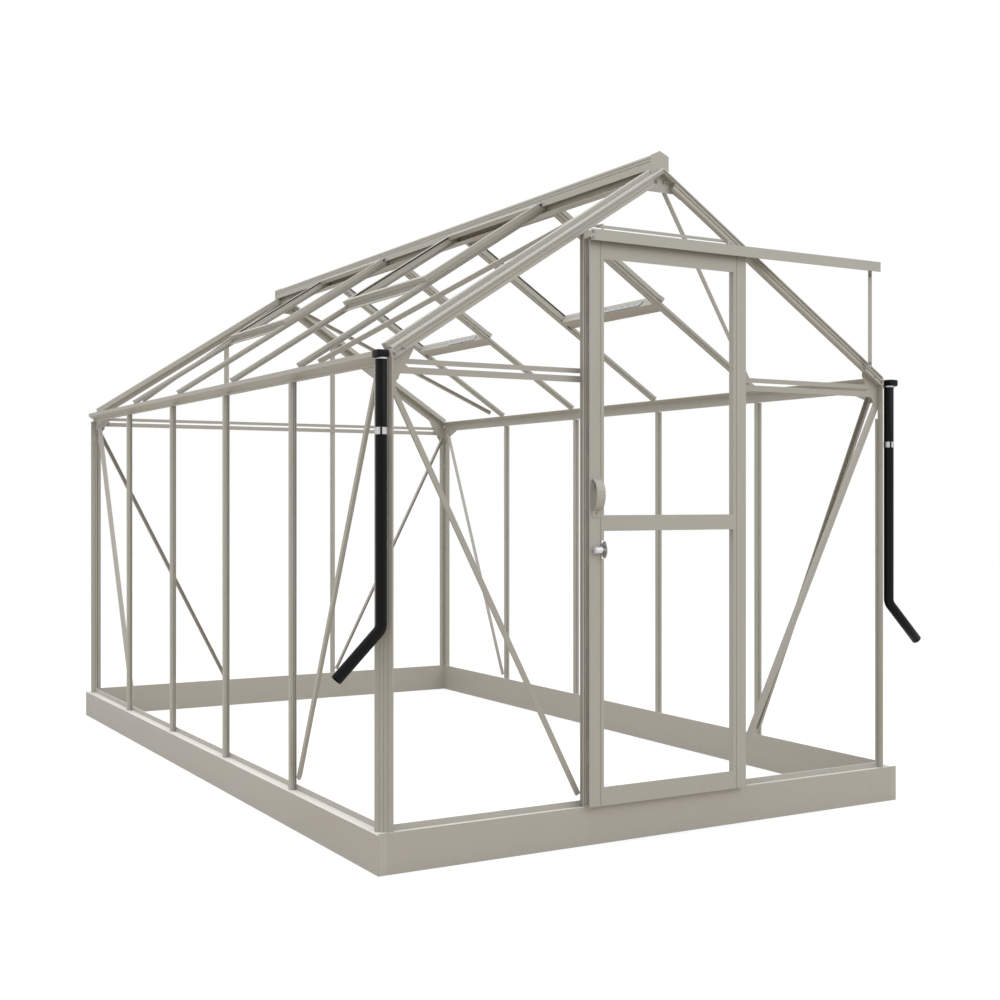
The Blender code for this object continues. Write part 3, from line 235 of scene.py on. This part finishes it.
def noise(tree, links, vector, scale, detail=2.0, roughness=0.5):
    node = tree.new("ShaderNodeTexNoise")
    node.inputs["Detail"].default_value = detail
    node.inputs["Roughness"].default_value = roughness
    links.new(vector, node.inputs["Vector"])
    if isinstance(scale, (int, float)):
        node.inputs["Scale"].default_value = scale
    else:
        links.new(scale, node.inputs["Scale"])
    return node.outputs["Fac"]


def stretched(tree, links, vector, scale):
    node = tree.new("ShaderNodeMapping")
    node.inputs["Scale"].default_value = scale
    links.new(vector, node.inputs["Vector"])
    return node.outputs["Vector"]


def object_place(tree):
    return tree.new("ShaderNodeTexCoord").outputs["Object"]


def coat_group():
    """Powder coat: fine orange peel, faint cloudy shade, rain streaks and dust on the low parts."""
    group, tree, links, given, out = new_group(
        "powder_coat",
        [("Colour", "NodeSocketColor", (0.5, 0.5, 0.5, 1)), ("Cloud", "NodeSocketFloat", 0.06),
         ("Streak", "NodeSocketFloat", 0.05), ("Dust", "NodeSocketFloat", 0.2),
         ("Peel Scale", "NodeSocketFloat", 700.0), ("Roughness", "NodeSocketFloat", 0.45)],
        [("Colour", "NodeSocketColor"), ("Roughness", "NodeSocketFloat"), ("Height", "NodeSocketFloat")])
    place = object_place(tree)
    peel = noise(tree, links, place, given.outputs["Peel Scale"], 2.0)
    cloud = noise(tree, links, place, CLOUD_SCALE, 3.0)
    streak = noise(tree, links, stretched(tree, links, place, STREAK_STRETCH), 1.0, 3.0, 0.6)
    shade = math_node(tree, links, "MULTIPLY",
                      math_node(tree, links, "SUBTRACT", cloud, 0.5), given.outputs["Cloud"])
    run = math_node(tree, links, "MULTIPLY",
                    math_node(tree, links, "SUBTRACT", streak, 0.5), given.outputs["Streak"])
    level = math_node(tree, links, "ADD", math_node(tree, links, "ADD", shade, run), 1.0)
    hsv = tree.new("ShaderNodeHueSaturation")
    links.new(level, hsv.inputs["Value"])
    links.new(given.outputs["Colour"], hsv.inputs["Color"])
    split = tree.new("ShaderNodeSeparateXYZ")
    links.new(place, split.inputs[0])
    low = tree.new("ShaderNodeMapRange")
    low.inputs["From Min"].default_value = 0.0
    low.inputs["From Max"].default_value = DUST_REACH
    low.inputs["To Min"].default_value = 1.0
    low.inputs["To Max"].default_value = 0.0
    links.new(split.outputs["Z"], low.inputs["Value"])
    speck = noise(tree, links, place, SPECK_SCALE, 4.0, 0.7)
    dusty = math_node(tree, links, "MULTIPLY", low.outputs[0], math_node(tree, links, "POWER", speck, 2.0))
    dust = math_node(tree, links, "MULTIPLY", dusty, given.outputs["Dust"])
    coloured = mix_colour(tree, links, dust, hsv.outputs[0], linear(DUST))
    links.new(coloured, out.inputs["Colour"])
    rough = math_node(tree, links, "ADD", given.outputs["Roughness"], math_node(
        tree, links, "MULTIPLY", math_node(tree, links, "SUBTRACT", cloud, 0.45), 0.18))
    links.new(math_node(tree, links, "ADD", rough, dust), out.inputs["Roughness"])
    links.new(peel, out.inputs["Height"])
    return group


def wear_group():
    """Edges a little lighter, partly rubbed wear and partly a painted highlight: a mask where the rounded
    normal leaves the flat one.
    """
    group, tree, links, given, out = new_group(
        "edge_rub_and_highlight",
        [("Colour", "NodeSocketColor", (0.5, 0.5, 0.5, 1)), ("Rub And Highlight", "NodeSocketColor", (0.6, 0.6, 0.6, 1)),
         ("Width", "NodeSocketFloat", 0.0012), ("Amount", "NodeSocketFloat", 0.5)],
        [("Colour", "NodeSocketColor"), ("Mask", "NodeSocketFloat")])
    bevel = tree.new("ShaderNodeBevel")
    bevel.samples = 4
    links.new(given.outputs["Width"], bevel.inputs["Radius"])
    flat = tree.new("ShaderNodeNewGeometry")
    dot = tree.new("ShaderNodeVectorMath")
    dot.operation = "DOT_PRODUCT"
    links.new(bevel.outputs[0], dot.inputs[0])
    links.new(flat.outputs["True Normal"], dot.inputs[1])
    away = math_node(tree, links, "SUBTRACT", 1.0, dot.outputs["Value"])
    broken = noise(tree, links, object_place(tree), RUB_AND_HIGHLIGHT_SCALE, 4.0, 0.7)
    edge = math_node(tree, links, "MULTIPLY", math_node(tree, links, "MULTIPLY", away, 4.0), broken)
    masked = math_node(tree, links, "MULTIPLY", edge, given.outputs["Amount"])
    limit = tree.new("ShaderNodeClamp")
    links.new(masked, limit.inputs[0])
    links.new(limit.outputs[0], out.inputs["Mask"])
    links.new(
        mix_colour(tree, links, limit.outputs[0], given.outputs["Colour"], given.outputs["Rub And Highlight"]),
        out.inputs["Colour"])
    return group


GROUPS = {"coat": coat_group(), "rub_and_highlight": wear_group()}


def shader_material(name, colour, roughness, metallic=0.0):
    material = bpy.data.materials.new(name)
    material.use_nodes = True
    tree = material.node_tree.nodes
    shader = tree["Principled BSDF"]
    shader.inputs["Base Color"].default_value = linear(colour)
    shader.inputs["Roughness"].default_value = roughness
    shader.inputs["Metallic"].default_value = metallic
    return material, tree, material.node_tree.links, shader


def place_group(tree, key, values):
    node = tree.new("ShaderNodeGroup")
    node.node_tree = GROUPS[key]
    for label, value in values.items():
        node.inputs[label].default_value = value
    return node


def bump(tree, links, height, strength, distance, shader):
    node = tree.new("ShaderNodeBump")
    node.inputs["Strength"].default_value = strength
    node.inputs["Distance"].default_value = distance
    links.new(height, node.inputs["Height"])
    links.new(node.outputs[0], shader.inputs["Normal"])


def joint_mask(tree, links, edge):
    """1 on a thin line down each stile's inner edge: a dark joint where the rails butt against the stiles,
    and painted shade along the glazing edge between them.
    """
    split = tree.new("ShaderNodeSeparateXYZ")
    links.new(object_place(tree), split.inputs[0])
    away = math_node(tree, links, "SUBTRACT", math_node(tree, links, "ABSOLUTE", split.outputs["X"]), edge)
    return math_node(tree, links, "LESS_THAN", math_node(tree, links, "ABSOLUTE", away), JOINT_HALF)


def ledge_mask(tree, links):
    """1 on faces that look straight up, 0 on all others: where a coat gets its painted highlight."""
    split = tree.new("ShaderNodeSeparateXYZ")
    links.new(tree.new("ShaderNodeNewGeometry").outputs["True Normal"], split.inputs[0])
    return math_node(tree, links, "GREATER_THAN", split.outputs["Z"], UP_FACING)


def coat(name, colour, dust=0.2, roughness=0.45, streak=0.05, joint_shade=None, top_highlight=0.0):
    """Powder coat, with edges lighter from rubbed wear and a painted highlight, a dark line at the door's
    joints that also paints shade along the stiles, and a painted highlight on up-facing faces where asked.
    """
    material, tree, links, shader = shader_material(name, colour, roughness)
    finish = place_group(tree, "coat", {
        "Colour": linear(colour), "Dust": dust, "Roughness": roughness, "Streak": streak})
    # edges lighter: rubbed wear and a painted highlight
    rub_and_highlight = place_group(tree, "rub_and_highlight", {"Rub And Highlight": linear(tuple(min(c * EDGE_RUB_AND_HIGHLIGHT, 1.0) for c in colour))})
    links.new(finish.outputs["Colour"], rub_and_highlight.inputs["Colour"])
    coloured = rub_and_highlight.outputs["Colour"]
    # dark joint line, which also paints shade along the stile's glazing edge
    if joint_shade:
        coloured = mix_colour(tree, links, joint_mask(tree, links, joint_shade), coloured, linear(JOINT_AND_SHADE_BROWN))
    # painted highlight: up-facing faces turned paler, standing in for light from above
    if top_highlight:
        highlight_share = math_node(tree, links, "MULTIPLY", ledge_mask(tree, links), top_highlight)
        coloured = mix_colour(tree, links, highlight_share, coloured, linear(PAINTED_TOP_HIGHLIGHT))
    links.new(coloured, shader.inputs["Base Color"])
    links.new(finish.outputs["Roughness"], shader.inputs["Roughness"])
    bump(tree, links, finish.outputs["Height"], 0.25, 0.0002, shader)
    return material


def moulded_plastic(name, colour, roughness=0.36, gloss=0.12):
    material, tree, links, shader = shader_material(name, colour, roughness)
    shader.inputs["Specular IOR Level"].default_value = gloss
    place = object_place(tree)
    cloud = noise(tree, links, place, 14.0, 3.0)
    links.new(mix_colour(tree, links, cloud, linear(tuple(c * 0.85 for c in colour)),
                         linear(tuple(min(c * 1.2, 1.0) for c in colour))), shader.inputs["Base Color"])
    rough = math_node(tree, links, "ADD", math_node(tree, links, "MULTIPLY", cloud, 0.16), roughness - 0.08)
    links.new(rough, shader.inputs["Roughness"])
    bump(tree, links, noise(tree, links, place, 500.0, 2.0), 0.15, 0.0002, shader)
    return material


def bright_metal(name, colour, roughness=0.3):
    material, tree, links, shader = shader_material(name, colour, roughness, 1.0)
    place = object_place(tree)
    brushed = noise(tree, links, stretched(tree, links, place, (900.0, 40.0, 900.0)), 1.0, 3.0, 0.6)
    links.new(mix_colour(tree, links, brushed, linear(tuple(c * 0.86 for c in colour)), linear(colour)),
              shader.inputs["Base Color"])
    rough = math_node(tree, links, "ADD", math_node(tree, links, "MULTIPLY", brushed, 0.22), roughness - 0.1)
    links.new(rough, shader.inputs["Roughness"])
    bump(tree, links, brushed, 0.1, 0.0001, shader)
    return material


MATERIALS = {
    # the base's up-facing faces carry a painted highlight
    "base": coat("base_coat", COAT_BASE, dust=0.2, roughness=0.5, top_highlight=0.8),
    "frame": coat("frame_coat", COAT_FRAME),
    "door": coat("door_coat", COAT_DOOR, dust=0.15),
    "leaf": coat("door_leaf_coat", COAT_DOOR, dust=0.15, joint_shade=STILE_EDGE),
    "vent": coat("vent_coat", COAT_FRAME, streak=0.07),
    "brace": coat("brace_coat", COAT_BRACE, roughness=0.42),
    "pipe": moulded_plastic("pipe_plastic", PLASTIC_BLACK),
    "rubber": moulded_plastic("rubber", RUBBER_BLACK, roughness=0.6),
    "side_shade": moulded_plastic("painted_side_shade", SIDE_SHADE_GREY, roughness=0.8, gloss=0.1),
    "cap": moulded_plastic("cap_plastic", CAP_BLACK, roughness=0.42),
    "zinc": bright_metal("zinc_plate", ZINC),
    "dull": bright_metal("dull_zinc", DULL_ZINC, roughness=0.5),
    "nickel": bright_metal("nickel_plate", NICKEL, roughness=0.5),
    "coated_screw": coat("screw_coat", COAT_BASE, dust=0.1),
    "lap_highlight": coat("lap_highlight_coat", LAP_HIGHLIGHT_COAT, dust=0.2, roughness=0.5),
}

FINISH_OF = [
    ("base_plinth", "base"), ("corner_brace", "brace"), ("apex_brace", "brace"), ("track_stay", "brace"),
    ("door_track", "door"), ("sliding_door", "leaf"), ("door_handle", "door"), ("roof_vent", "vent"),
    ("vent_sill", "vent"), ("vent_stay", "zinc"), ("door_lock", "nickel"), ("downpipe", "pipe"),
]


def finish_nodes():
    for name, node in NODES.items():
        key = next((finish for start, finish in FINISH_OF if name.startswith(start)), "frame")
        node.material_slots[0].material = MATERIALS[key]


# Mesh making

def across_of(axis, facing=None):
    """Two directions square to an axis; the first leans towards facing where that is given."""
    axis = axis.normalized()
    steep = abs(axis.z) > 0.9
    guide = facing if facing is not None else Vector((1, 0, 0)) if steep else Vector((0, 0, 1))
    first = (guide - axis * guide.dot(axis)).normalized()
    return axis, first, axis.cross(first)


def revolve(builder, centre, axis, section, steps, facing=None, start=0.0, turn=math.tau):
    """Closed section, given as (way along the axis, radius), turned round the axis."""
    axis, first, second = across_of(axis, facing)
    full = turn > math.tau - 0.001
    rows = []
    for k in range(steps if full else steps + 1):
        t = start + turn * k / steps
        out = first * math.cos(t) + second * math.sin(t)
        rows.append([builder.verts.new(centre + axis * a + out * r) for a, r in section])
    count = len(section)
    for k in range(steps):
        low, high = rows[k], rows[(k + 1) % len(rows)]
        for j in range(count):
            m = (j + 1) % count
            if section[j][1] or section[m][1]:
                builder.faces.new((low[j], low[m], high[m], high[j]))
    if not full:
        builder.faces.new(rows[0])
        builder.faces.new(rows[-1][::-1])


def add_bolt(builder, centre, axis, size, washer=True):
    """Hexagon head with a chamfered top, its thread end and a washer."""
    foot = 0.0
    if washer:
        foot = size * 0.22
        revolve(builder, centre, axis, [(0, 0), (0, size * 1.3), (foot * 0.7, size * 1.3),
                                        (foot, size * 1.2), (foot, 0)], 20)
    high = foot + size * 0.75
    head = [(foot, 0), (foot, size), (high * 0.82, size), (high, size * 0.84), (high, 0)]
    revolve(builder, centre, axis, head, 6)
    tip = high + size * 0.35
    revolve(builder, centre, axis, [(high, 0), (high, size * 0.5), (tip - 0.0004, size * 0.5),
                                    (tip, size * 0.4), (tip, 0)], 14)


def add_dome(builder, centre, axis, size):
    """Round-headed screw with a socket in its crown."""
    rows = [(0.0, 0.0), (0.0, size), (size * 0.12, size)]
    rows += [(size * (0.12 + 0.5 * math.sin(t)), size * math.cos(t)) for t in (0.4, 0.8, 1.1)]
    rows += [(size * 0.55, size * 0.3), (size * 0.25, size * 0.28), (size * 0.25, 0.0)]
    revolve(builder, centre, axis, rows, 16)


def add_bar(builder, start, end, normal, width, thick, bevel):
    """Thin strip between two points with bevelled long edges, standing on its surface."""
    along = (end - start).normalized()
    normal = normal.normalized()
    side = along.cross(normal)
    half = width / 2
    outline = [(-half, 0.0), (half, 0.0), (half, thick - bevel), (half - bevel, thick),
               (bevel - half, thick), (-half, thick - bevel)]
    ends = []
    for point in (start, end):
        ends.append([builder.verts.new(point + side * a + normal * b) for a, b in outline])
    for j in range(len(outline)):
        m = (j + 1) % len(outline)
        builder.faces.new((ends[0][j], ends[0][m], ends[1][m], ends[1][j]))
    builder.faces.new(ends[0][::-1])
    builder.faces.new(ends[1])


def make_piece(name, builder, finish, body, smooth=35.0):
    """Closed mesh with its finish and the body it rides on."""
    bmesh.ops.remove_doubles(builder, verts=builder.verts[:], dist=0.000001)
    bmesh.ops.recalc_face_normals(builder, faces=builder.faces[:])
    mesh = bpy.data.meshes.new(name)
    builder.to_mesh(mesh)
    builder.free()
    mesh.shade_smooth()
    mesh.set_sharp_from_angle(angle=math.radians(smooth))
    mesh.materials.append(MATERIALS[finish])
    piece = bpy.data.objects.new(name, mesh)
    bpy.context.scene.collection.objects.link(piece)
    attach(piece, body)
    return piece


# Rain pipes

def pipe_path(x_sign):
    """Centre line of a rain pipe from its spout's mouth up to its head, with a rounded bend."""
    x0 = x_sign * (HALF_WIDTH - PIPE_INSET)
    y0 = FRONT + PIPE_INSET
    out = Vector((x_sign * math.sin(SPOUT_SLOPE), 0.0, -math.cos(SPOUT_SLOPE)))
    bend = Vector((x0, y0, PIPE_BEND))
    tangent = PIPE_BEND_RADIUS * math.tan(SPOUT_SLOPE / 2)
    middle = bend + Vector((x_sign * PIPE_BEND_RADIUS, 0.0, tangent))
    rows = [(bend + out * SPOUT_LENGTH, -out), (bend + out * (SPOUT_LENGTH / 2), -out)]
    for k in range(BEND_STEPS + 1):
        t = SPOUT_SLOPE * (1 - k / BEND_STEPS)
        place = middle + Vector((-x_sign * math.cos(t), 0.0, -math.sin(t))) * PIPE_BEND_RADIUS
        rows.append((place, Vector((-x_sign * math.sin(t), 0.0, math.cos(t)))))
    rows += [(Vector((x0, y0, z)), Vector((0, 0, 1))) for z in (0.9, 1.15, PIPE_HEAD)]
    return rows


def join_rings(builder, rings):
    """Faces between each ring of points and the next, and from the last back to the first."""
    sides = len(rings[0])
    for k in range(len(rings)):
        low, high = rings[k], rings[(k + 1) % len(rings)]
        for j in range(sides):
            m = (j + 1) % sides
            builder.faces.new((low[j], low[m], high[m], high[j]))


def ring_turns():
    return [math.tau * j / PIPE_SIDES for j in range(PIPE_SIDES)]


def add_pipe(builder, rows):
    """Hollow round pipe along the rows of (point, direction), its two lips eased."""
    across = Vector((0.0, 1.0, 0.0))
    rings = []
    (foot, foot_way), (head, head_way) = rows[0], rows[-1]
    sections = [(foot, foot_way, PIPE_BORE, 0.0), (foot, foot_way, PIPE_RADIUS - PIPE_EASE, 0.0),
                (foot, foot_way, PIPE_RADIUS, PIPE_EASE)]
    sections += [(p, d, PIPE_RADIUS, 0.0) for p, d in rows[1:-1]]
    sections += [(head, head_way, PIPE_RADIUS, -PIPE_EASE), (head, head_way, PIPE_RADIUS - PIPE_EASE, 0.0)]
    sections += [(p, d, PIPE_BORE, 0.0) for p, d in rows[:0:-1]]
    for point, along, radius, shift in sections:
        third = along.cross(across)
        rings.append([builder.verts.new(
            point + along * shift + across * (radius * math.cos(t)) + third * (radius * math.sin(t)))
            for t in ring_turns()])
    join_rings(builder, rings)


def add_cap(builder, x_sign):
    """Moulded cap over the pipe's head: a rounded block with a soft brim and a sunk mouth."""
    x0 = x_sign * (HALF_WIDTH - PIPE_INSET)
    y0 = FRONT + PIPE_INSET
    rows = [(CAP_FOOT, 0.0030), (CAP_FOOT + 0.0006, 0.0012), (CAP_FOOT + 0.0022, 0.0002),
            (CAP_FOOT + 0.0060, 0.0), (CAP_SHOULDER, 0.0), (CAP_TOP - 0.0024, 0.0005),
            (CAP_TOP - 0.0007, 0.0019), (CAP_TOP, 0.0042)]
    rings = []
    for z, ease in rows:
        low = max(0.0, (CAP_SHOULDER - z) / (CAP_SHOULDER - CAP_FOOT))
        ring = []
        for t in ring_turns():
            c, s = math.cos(t), math.sin(t)
            square = max(abs(c), abs(s)) ** -CAP_SQUARENESS
            reach_x = (CAP_REACH_OUT if c > 0 else CAP_REACH_IN) - ease
            reach_y = (CAP_REACH_IN if s > 0 else CAP_REACH_OUT) - ease
            ring.append(builder.verts.new((
                x0 + x_sign * min(c * square, 1.0) * reach_x, y0 + s * square * reach_y,
                z - CAP_LOBE * low * max(0.0, c) ** 2)))
        rings.append(ring)
    mouth = [(CAP_TOP - 0.0004, CAP_MOUTH + 0.0006), (CAP_TOP - 0.0030, CAP_MOUTH), (CAP_FOOT, CAP_MOUTH)]
    for z, radius in mouth:
        rings.append([builder.verts.new((x0 + x_sign * radius * math.cos(t), y0 + radius * math.sin(t), z))
                      for t in ring_turns()])
    join_rings(builder, rings)


def build_rain_pipes():
    for side, x_sign in SIDES.items():
        builder = bmesh.new()
        add_pipe(builder, pipe_path(x_sign))
        pipe = make_piece("rain_pipe_" + side, builder, "pipe", "frame", 50.0)
        builder = bmesh.new()
        add_cap(builder, x_sign)
        cap = make_piece("pipe_cap_" + side, builder, "cap", "frame", 40.0)
        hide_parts("downpipe_" + side)
        centre = Vector((x_sign * (HALF_WIDTH - PIPE_INSET), FRONT + PIPE_INSET, 0.0))
        builder = bmesh.new()
        up = Vector((0, 0, 1))
        half = CLIP_TALL / 2
        band = [(-half, CLIP_INNER), (-half, CLIP_OUTER - CLIP_EASE), (-half + CLIP_EASE, CLIP_OUTER),
                (half - CLIP_EASE, CLIP_OUTER), (half, CLIP_OUTER - CLIP_EASE), (half, CLIP_INNER)]
        revolve(builder, centre + up * CLIP_HEIGHT, up, band, 40, CLIP_OPENING,
                CLIP_OPENING_TURN / 2, math.tau - CLIP_OPENING_TURN)
        rim = [(0.0, CLIP_INNER), (0.0, CLIP_OUTER), (RIM_TALL, CLIP_OUTER), (RIM_TALL, CLIP_INNER)]
        revolve(builder, centre + up * (CAP_FOOT - RIM_DROP), up, rim, 40)
        screw = centre + Vector((0.0, PIPE_RADIUS + 0.0008, CLIP_HEIGHT))
        add_dome(builder, screw, Vector((0, 1, 0)), CLIP_SCREW)
        make_piece("pipe_clip_" + side, builder, "zinc", "frame")


# Bolts, screws and small fittings

def mirrored(places):
    """Each place on the right and its twin on the left."""
    return [(x * x_sign, z) for x, z in places for x_sign in (-1, 1)]


def build_gusset_bolts():
    for end, y_sign in ENDS.items():
        edge = FRONT if end == "front" else REAR
        out = Vector((0, y_sign, 0))
        plate = edge - y_sign * PLATE_PLACE
        plate_back = plate - y_sign * PLATE_THICK
        builder = bmesh.new()
        for x, z in mirrored(APEX_BOLTS):
            add_bolt(builder, Vector((x, plate, z)), out, SMALL_BOLT)
            add_dome(builder, Vector((x, plate_back, z)), -out, SMALL_BOLT)
        make_piece("apex_bolts_" + end, builder, "dull", "frame")
        builder = bmesh.new()
        for x, z in mirrored(FLANGE_BOLTS):
            add_bolt(builder, Vector((x, edge - y_sign * FLANGE_PLACE, z)), out, SMALL_BOLT)
        for x, z in mirrored(GUSSET_BOLTS):
            add_bolt(builder, Vector((x, plate_back, z)), -out, SMALL_BOLT)
        make_piece("corner_bolts_" + end, builder, "dull", "frame")


def build_track_bolts():
    builder = bmesh.new()
    out = Vector((0, -1, 0))
    end_x = TRACK_LOW.x + TRACK_BOLT_IN
    add_bolt(builder, Vector((end_x, TRACK_LOW.y, FASCIA_TOP - TRACK_BOLT_RISE)), out, SMALL_BOLT)
    add_bolt(builder, Vector((end_x, TRACK_LOW.y, TRACK_LOW.z + TRACK_BOLT_RISE)), out, TRACK_END_BOLT)
    stay_x = (STAY_LOW.x + STAY_HIGH.x) / 2
    for z in (STAY_LOW.z + 0.014, STAY_HIGH.z - 0.018):
        add_bolt(builder, Vector((stay_x, STAY_LOW.y, z)), out, SMALL_BOLT)
    make_piece("track_bolts", builder, "dull", "frame")


def build_door_fittings():
    """Screws and tab of the handle, grey strips of painted shade on both side faces of the leaf, screws of
    the lock.
    """
    out = Vector((0, -1, 0))
    handle_x = (HANDLE_LOW.x + HANDLE_HIGH.x) / 2
    builder = bmesh.new()
    for z in (HANDLE_LOW.z + 0.010, HANDLE_HIGH.z - 0.024):
        add_dome(builder, Vector((handle_x, HANDLE_HIGH.y - HANDLE_FACE_DEPTH, z)), out, SMALL_BOLT)
    make_piece("handle_screws", builder, "dull", "door")
    builder = bmesh.new()
    foot, head = (Vector((handle_x, DOOR_FACE, HANDLE_HIGH.z - drop)) for drop in TAB_DROPS)
    add_bar(builder, foot, head, out, TAB_WIDTH, TAB_THICK, TAB_THICK / 4)
    make_piece("handle_tab", builder, "door", "door")
    builder = bmesh.new()
    # painted shade: a grey strip on each side face of the leaf darkens it as shade would
    for x_sign, x in ((-1, DOOR_LOW.x), (1, DOOR_HIGH.x)):
        foot = Vector((x, DOOR_FACE + SIDE_SHADE_BACK, DOOR_LOW.z + 0.01))
        head = Vector((x, DOOR_FACE + SIDE_SHADE_BACK, DOOR_HIGH.z - 0.02))
        add_bar(builder, foot, head, Vector((x_sign, 0, 0)), SIDE_SHADE_WIDTH, STRIP_THICK, STRIP_EASE)
    make_piece("door_side_shade", builder, "side_shade", "door")
    builder = bmesh.new()
    middle = (LOCK_LOW + LOCK_HIGH) / 2
    for x_sign, x in ((-1, LOCK_HIGH.x - 0.003), (1, LOCK_HIGH.x)):
        add_dome(builder, Vector((x, middle.y, middle.z)), Vector((x_sign, 0, 0)), LOCK_SCREW)
    make_piece("lock_screw", builder, "dull", "lock")


def build_base_corners():
    """The end of each gable plinth laps its corner: a thin lap in a paler coat that paints a highlight on the
    corner, and a screw in the side beside it.
    """
    laps = bmesh.new()
    screws = bmesh.new()
    for x_sign in (-1, 1):
        for y0, y_sign in ((FRONT, -1), (REAR, 1)):
            out = Vector((0, y_sign, 0))
            middle = x_sign * (HALF_WIDTH - LAP_EDGE - LAP_WIDTH / 2)
            # paler lap coat: painted highlight on the corner
            add_bar(laps, Vector((middle, y0, LAP_CLEAR)), Vector((middle, y0, BASE_TOP - LAP_CLEAR)), out,
                    LAP_WIDTH, LAP_THICK, LAP_THICK / 2)
            place = Vector((x_sign * HALF_WIDTH, y0 - y_sign * BASE_SCREW_IN, BASE_SCREW_HEIGHT))
            add_dome(screws, place, Vector((x_sign, 0, 0)), BASE_SCREW)
    make_piece("base_laps", laps, "lap_highlight", "frame")
    make_piece("base_screws", screws, "coated_screw", "frame")


# Vent seals

def slope_place(x_sign, run, along, rise):
    """Point on a roof slope: distance down it, place along the ridge, height above it."""
    return Vector((x_sign * (run * COS + rise * SIN), along, ROOF_TOP - run * SIN + rise * COS))


def build_vent_seals():
    """Black glazing seal along the inner faces of each vent's two side rails."""
    for side, x_sign in SIDES.items():
        for end, (low, high) in VENT_BAYS.items():
            builder = bmesh.new()
            for y, inward in ((low + SEAL_PLACE, 1), (high - SEAL_PLACE, -1)):
                head, foot = (slope_place(x_sign, run, y, SEAL_RISE) for run in SEAL_RUN)
                add_bar(builder, head, foot, Vector((0, inward, 0)), SEAL_TALL, STRIP_THICK, STRIP_EASE)
            vent = side + "_" + end
            make_piece("vent_seal_" + vent, builder, "rubber", "vent_" + vent)


# Studio and camera

FLOOR_ALBEDO = (0.50, 0.42, 0.34)
FLOOR_LIFT = (0.60, 0.67, 0.74)
FLOOR_HALF = 60.0
FLOOR_GAP = 0.0005
WORLD_LIGHT = 0.80
LIGHT_SIZE = 4.0
LIGHT_TARGET = Vector((0.0, 0.0, 1.0))
LIGHTS = [("key", (3.0, -7.0, 5.0), 125.0), ("fill", (-7.0, -1.0, 3.5), 30.0),
          ("overhead", (-1.5, -0.5, 6.5), 160.0)]


def seen_directly(tree, links):
    """1 for rays from the camera, a mirror or clear glass, 0 for light that falls on things."""
    path = tree.new("ShaderNodeLightPath")
    either = math_node(tree, links, "MAXIMUM", path.outputs["Is Camera Ray"], path.outputs["Is Glossy Ray"])
    return math_node(tree, links, "MAXIMUM", either, path.outputs["Is Transmission Ray"])


def build_floor():
    mesh = bpy.data.meshes.new("floor")
    half = FLOOR_HALF
    mesh.from_pydata(
        [(-half, -half, 0), (half, -half, 0), (half, half, 0), (-half, half, 0)], [], [(0, 1, 2, 3)])
    floor = bpy.data.objects.new("floor", mesh)
    bpy.context.scene.collection.objects.link(floor)
    floor.location.z = cad_box[0][2] - FLOOR_GAP
    material, tree, links, shader = shader_material("studio_floor", FLOOR_ALBEDO, 0.9)
    shader.inputs["Base Color"].default_value = (*FLOOR_ALBEDO, 1.0)
    shader.inputs["Specular IOR Level"].default_value = 0.0
    shader.inputs["Emission Color"].default_value = (*FLOOR_LIFT, 1.0)
    links.new(seen_directly(tree, links), shader.inputs["Emission Strength"])
    mesh.materials.append(material)


def build_world():
    world = bpy.data.worlds.new("studio")
    bpy.context.scene.world = world
    world.use_nodes = True
    tree, links = world.node_tree.nodes, world.node_tree.links
    background = tree["Background"]
    background.inputs["Color"].default_value = (1, 1, 1, 1)
    seen = seen_directly(tree, links)
    lift = math_node(tree, links, "MULTIPLY", seen, 1.0 - WORLD_LIGHT)
    strength = math_node(tree, links, "ADD", lift, WORLD_LIGHT)
    links.new(strength, background.inputs["Strength"])


def soft_light(name, place, power):
    data = bpy.data.lights.new(name, "AREA")
    data.shape = "SQUARE"
    data.size = LIGHT_SIZE
    data.energy = power
    light = bpy.data.objects.new(name, data)
    bpy.context.scene.collection.objects.link(light)
    light.location = place
    light.rotation_euler = (LIGHT_TARGET - Vector(place)).to_track_quat("-Z", "Y").to_euler()


def build_camera():
    data = bpy.data.cameras.new("camera")
    data.lens = CAMERA_LENS
    data.sensor_width = 36.0
    data.clip_start = 0.05
    data.clip_end = 200.0
    camera = bpy.data.objects.new("camera", data)
    bpy.context.scene.collection.objects.link(camera)
    camera.location = Vector((-HALF_WIDTH, FRONT, 0.0)) + CAMERA_FROM_CORNER
    camera.rotation_euler = (math.pi / 2, 0.0, CAMERA_TURN)
    bpy.context.scene.camera = camera


def build_studio():
    build_floor()
    build_world()
    for name, place, power in LIGHTS:
        soft_light(name, place, power)
    build_camera()
    bpy.context.scene.view_settings.view_transform = "Standard"


finish_nodes()
build_rain_pipes()
build_gusset_bolts()
build_track_bolts()
build_door_fittings()
build_base_corners()
build_vent_seals()
build_studio()
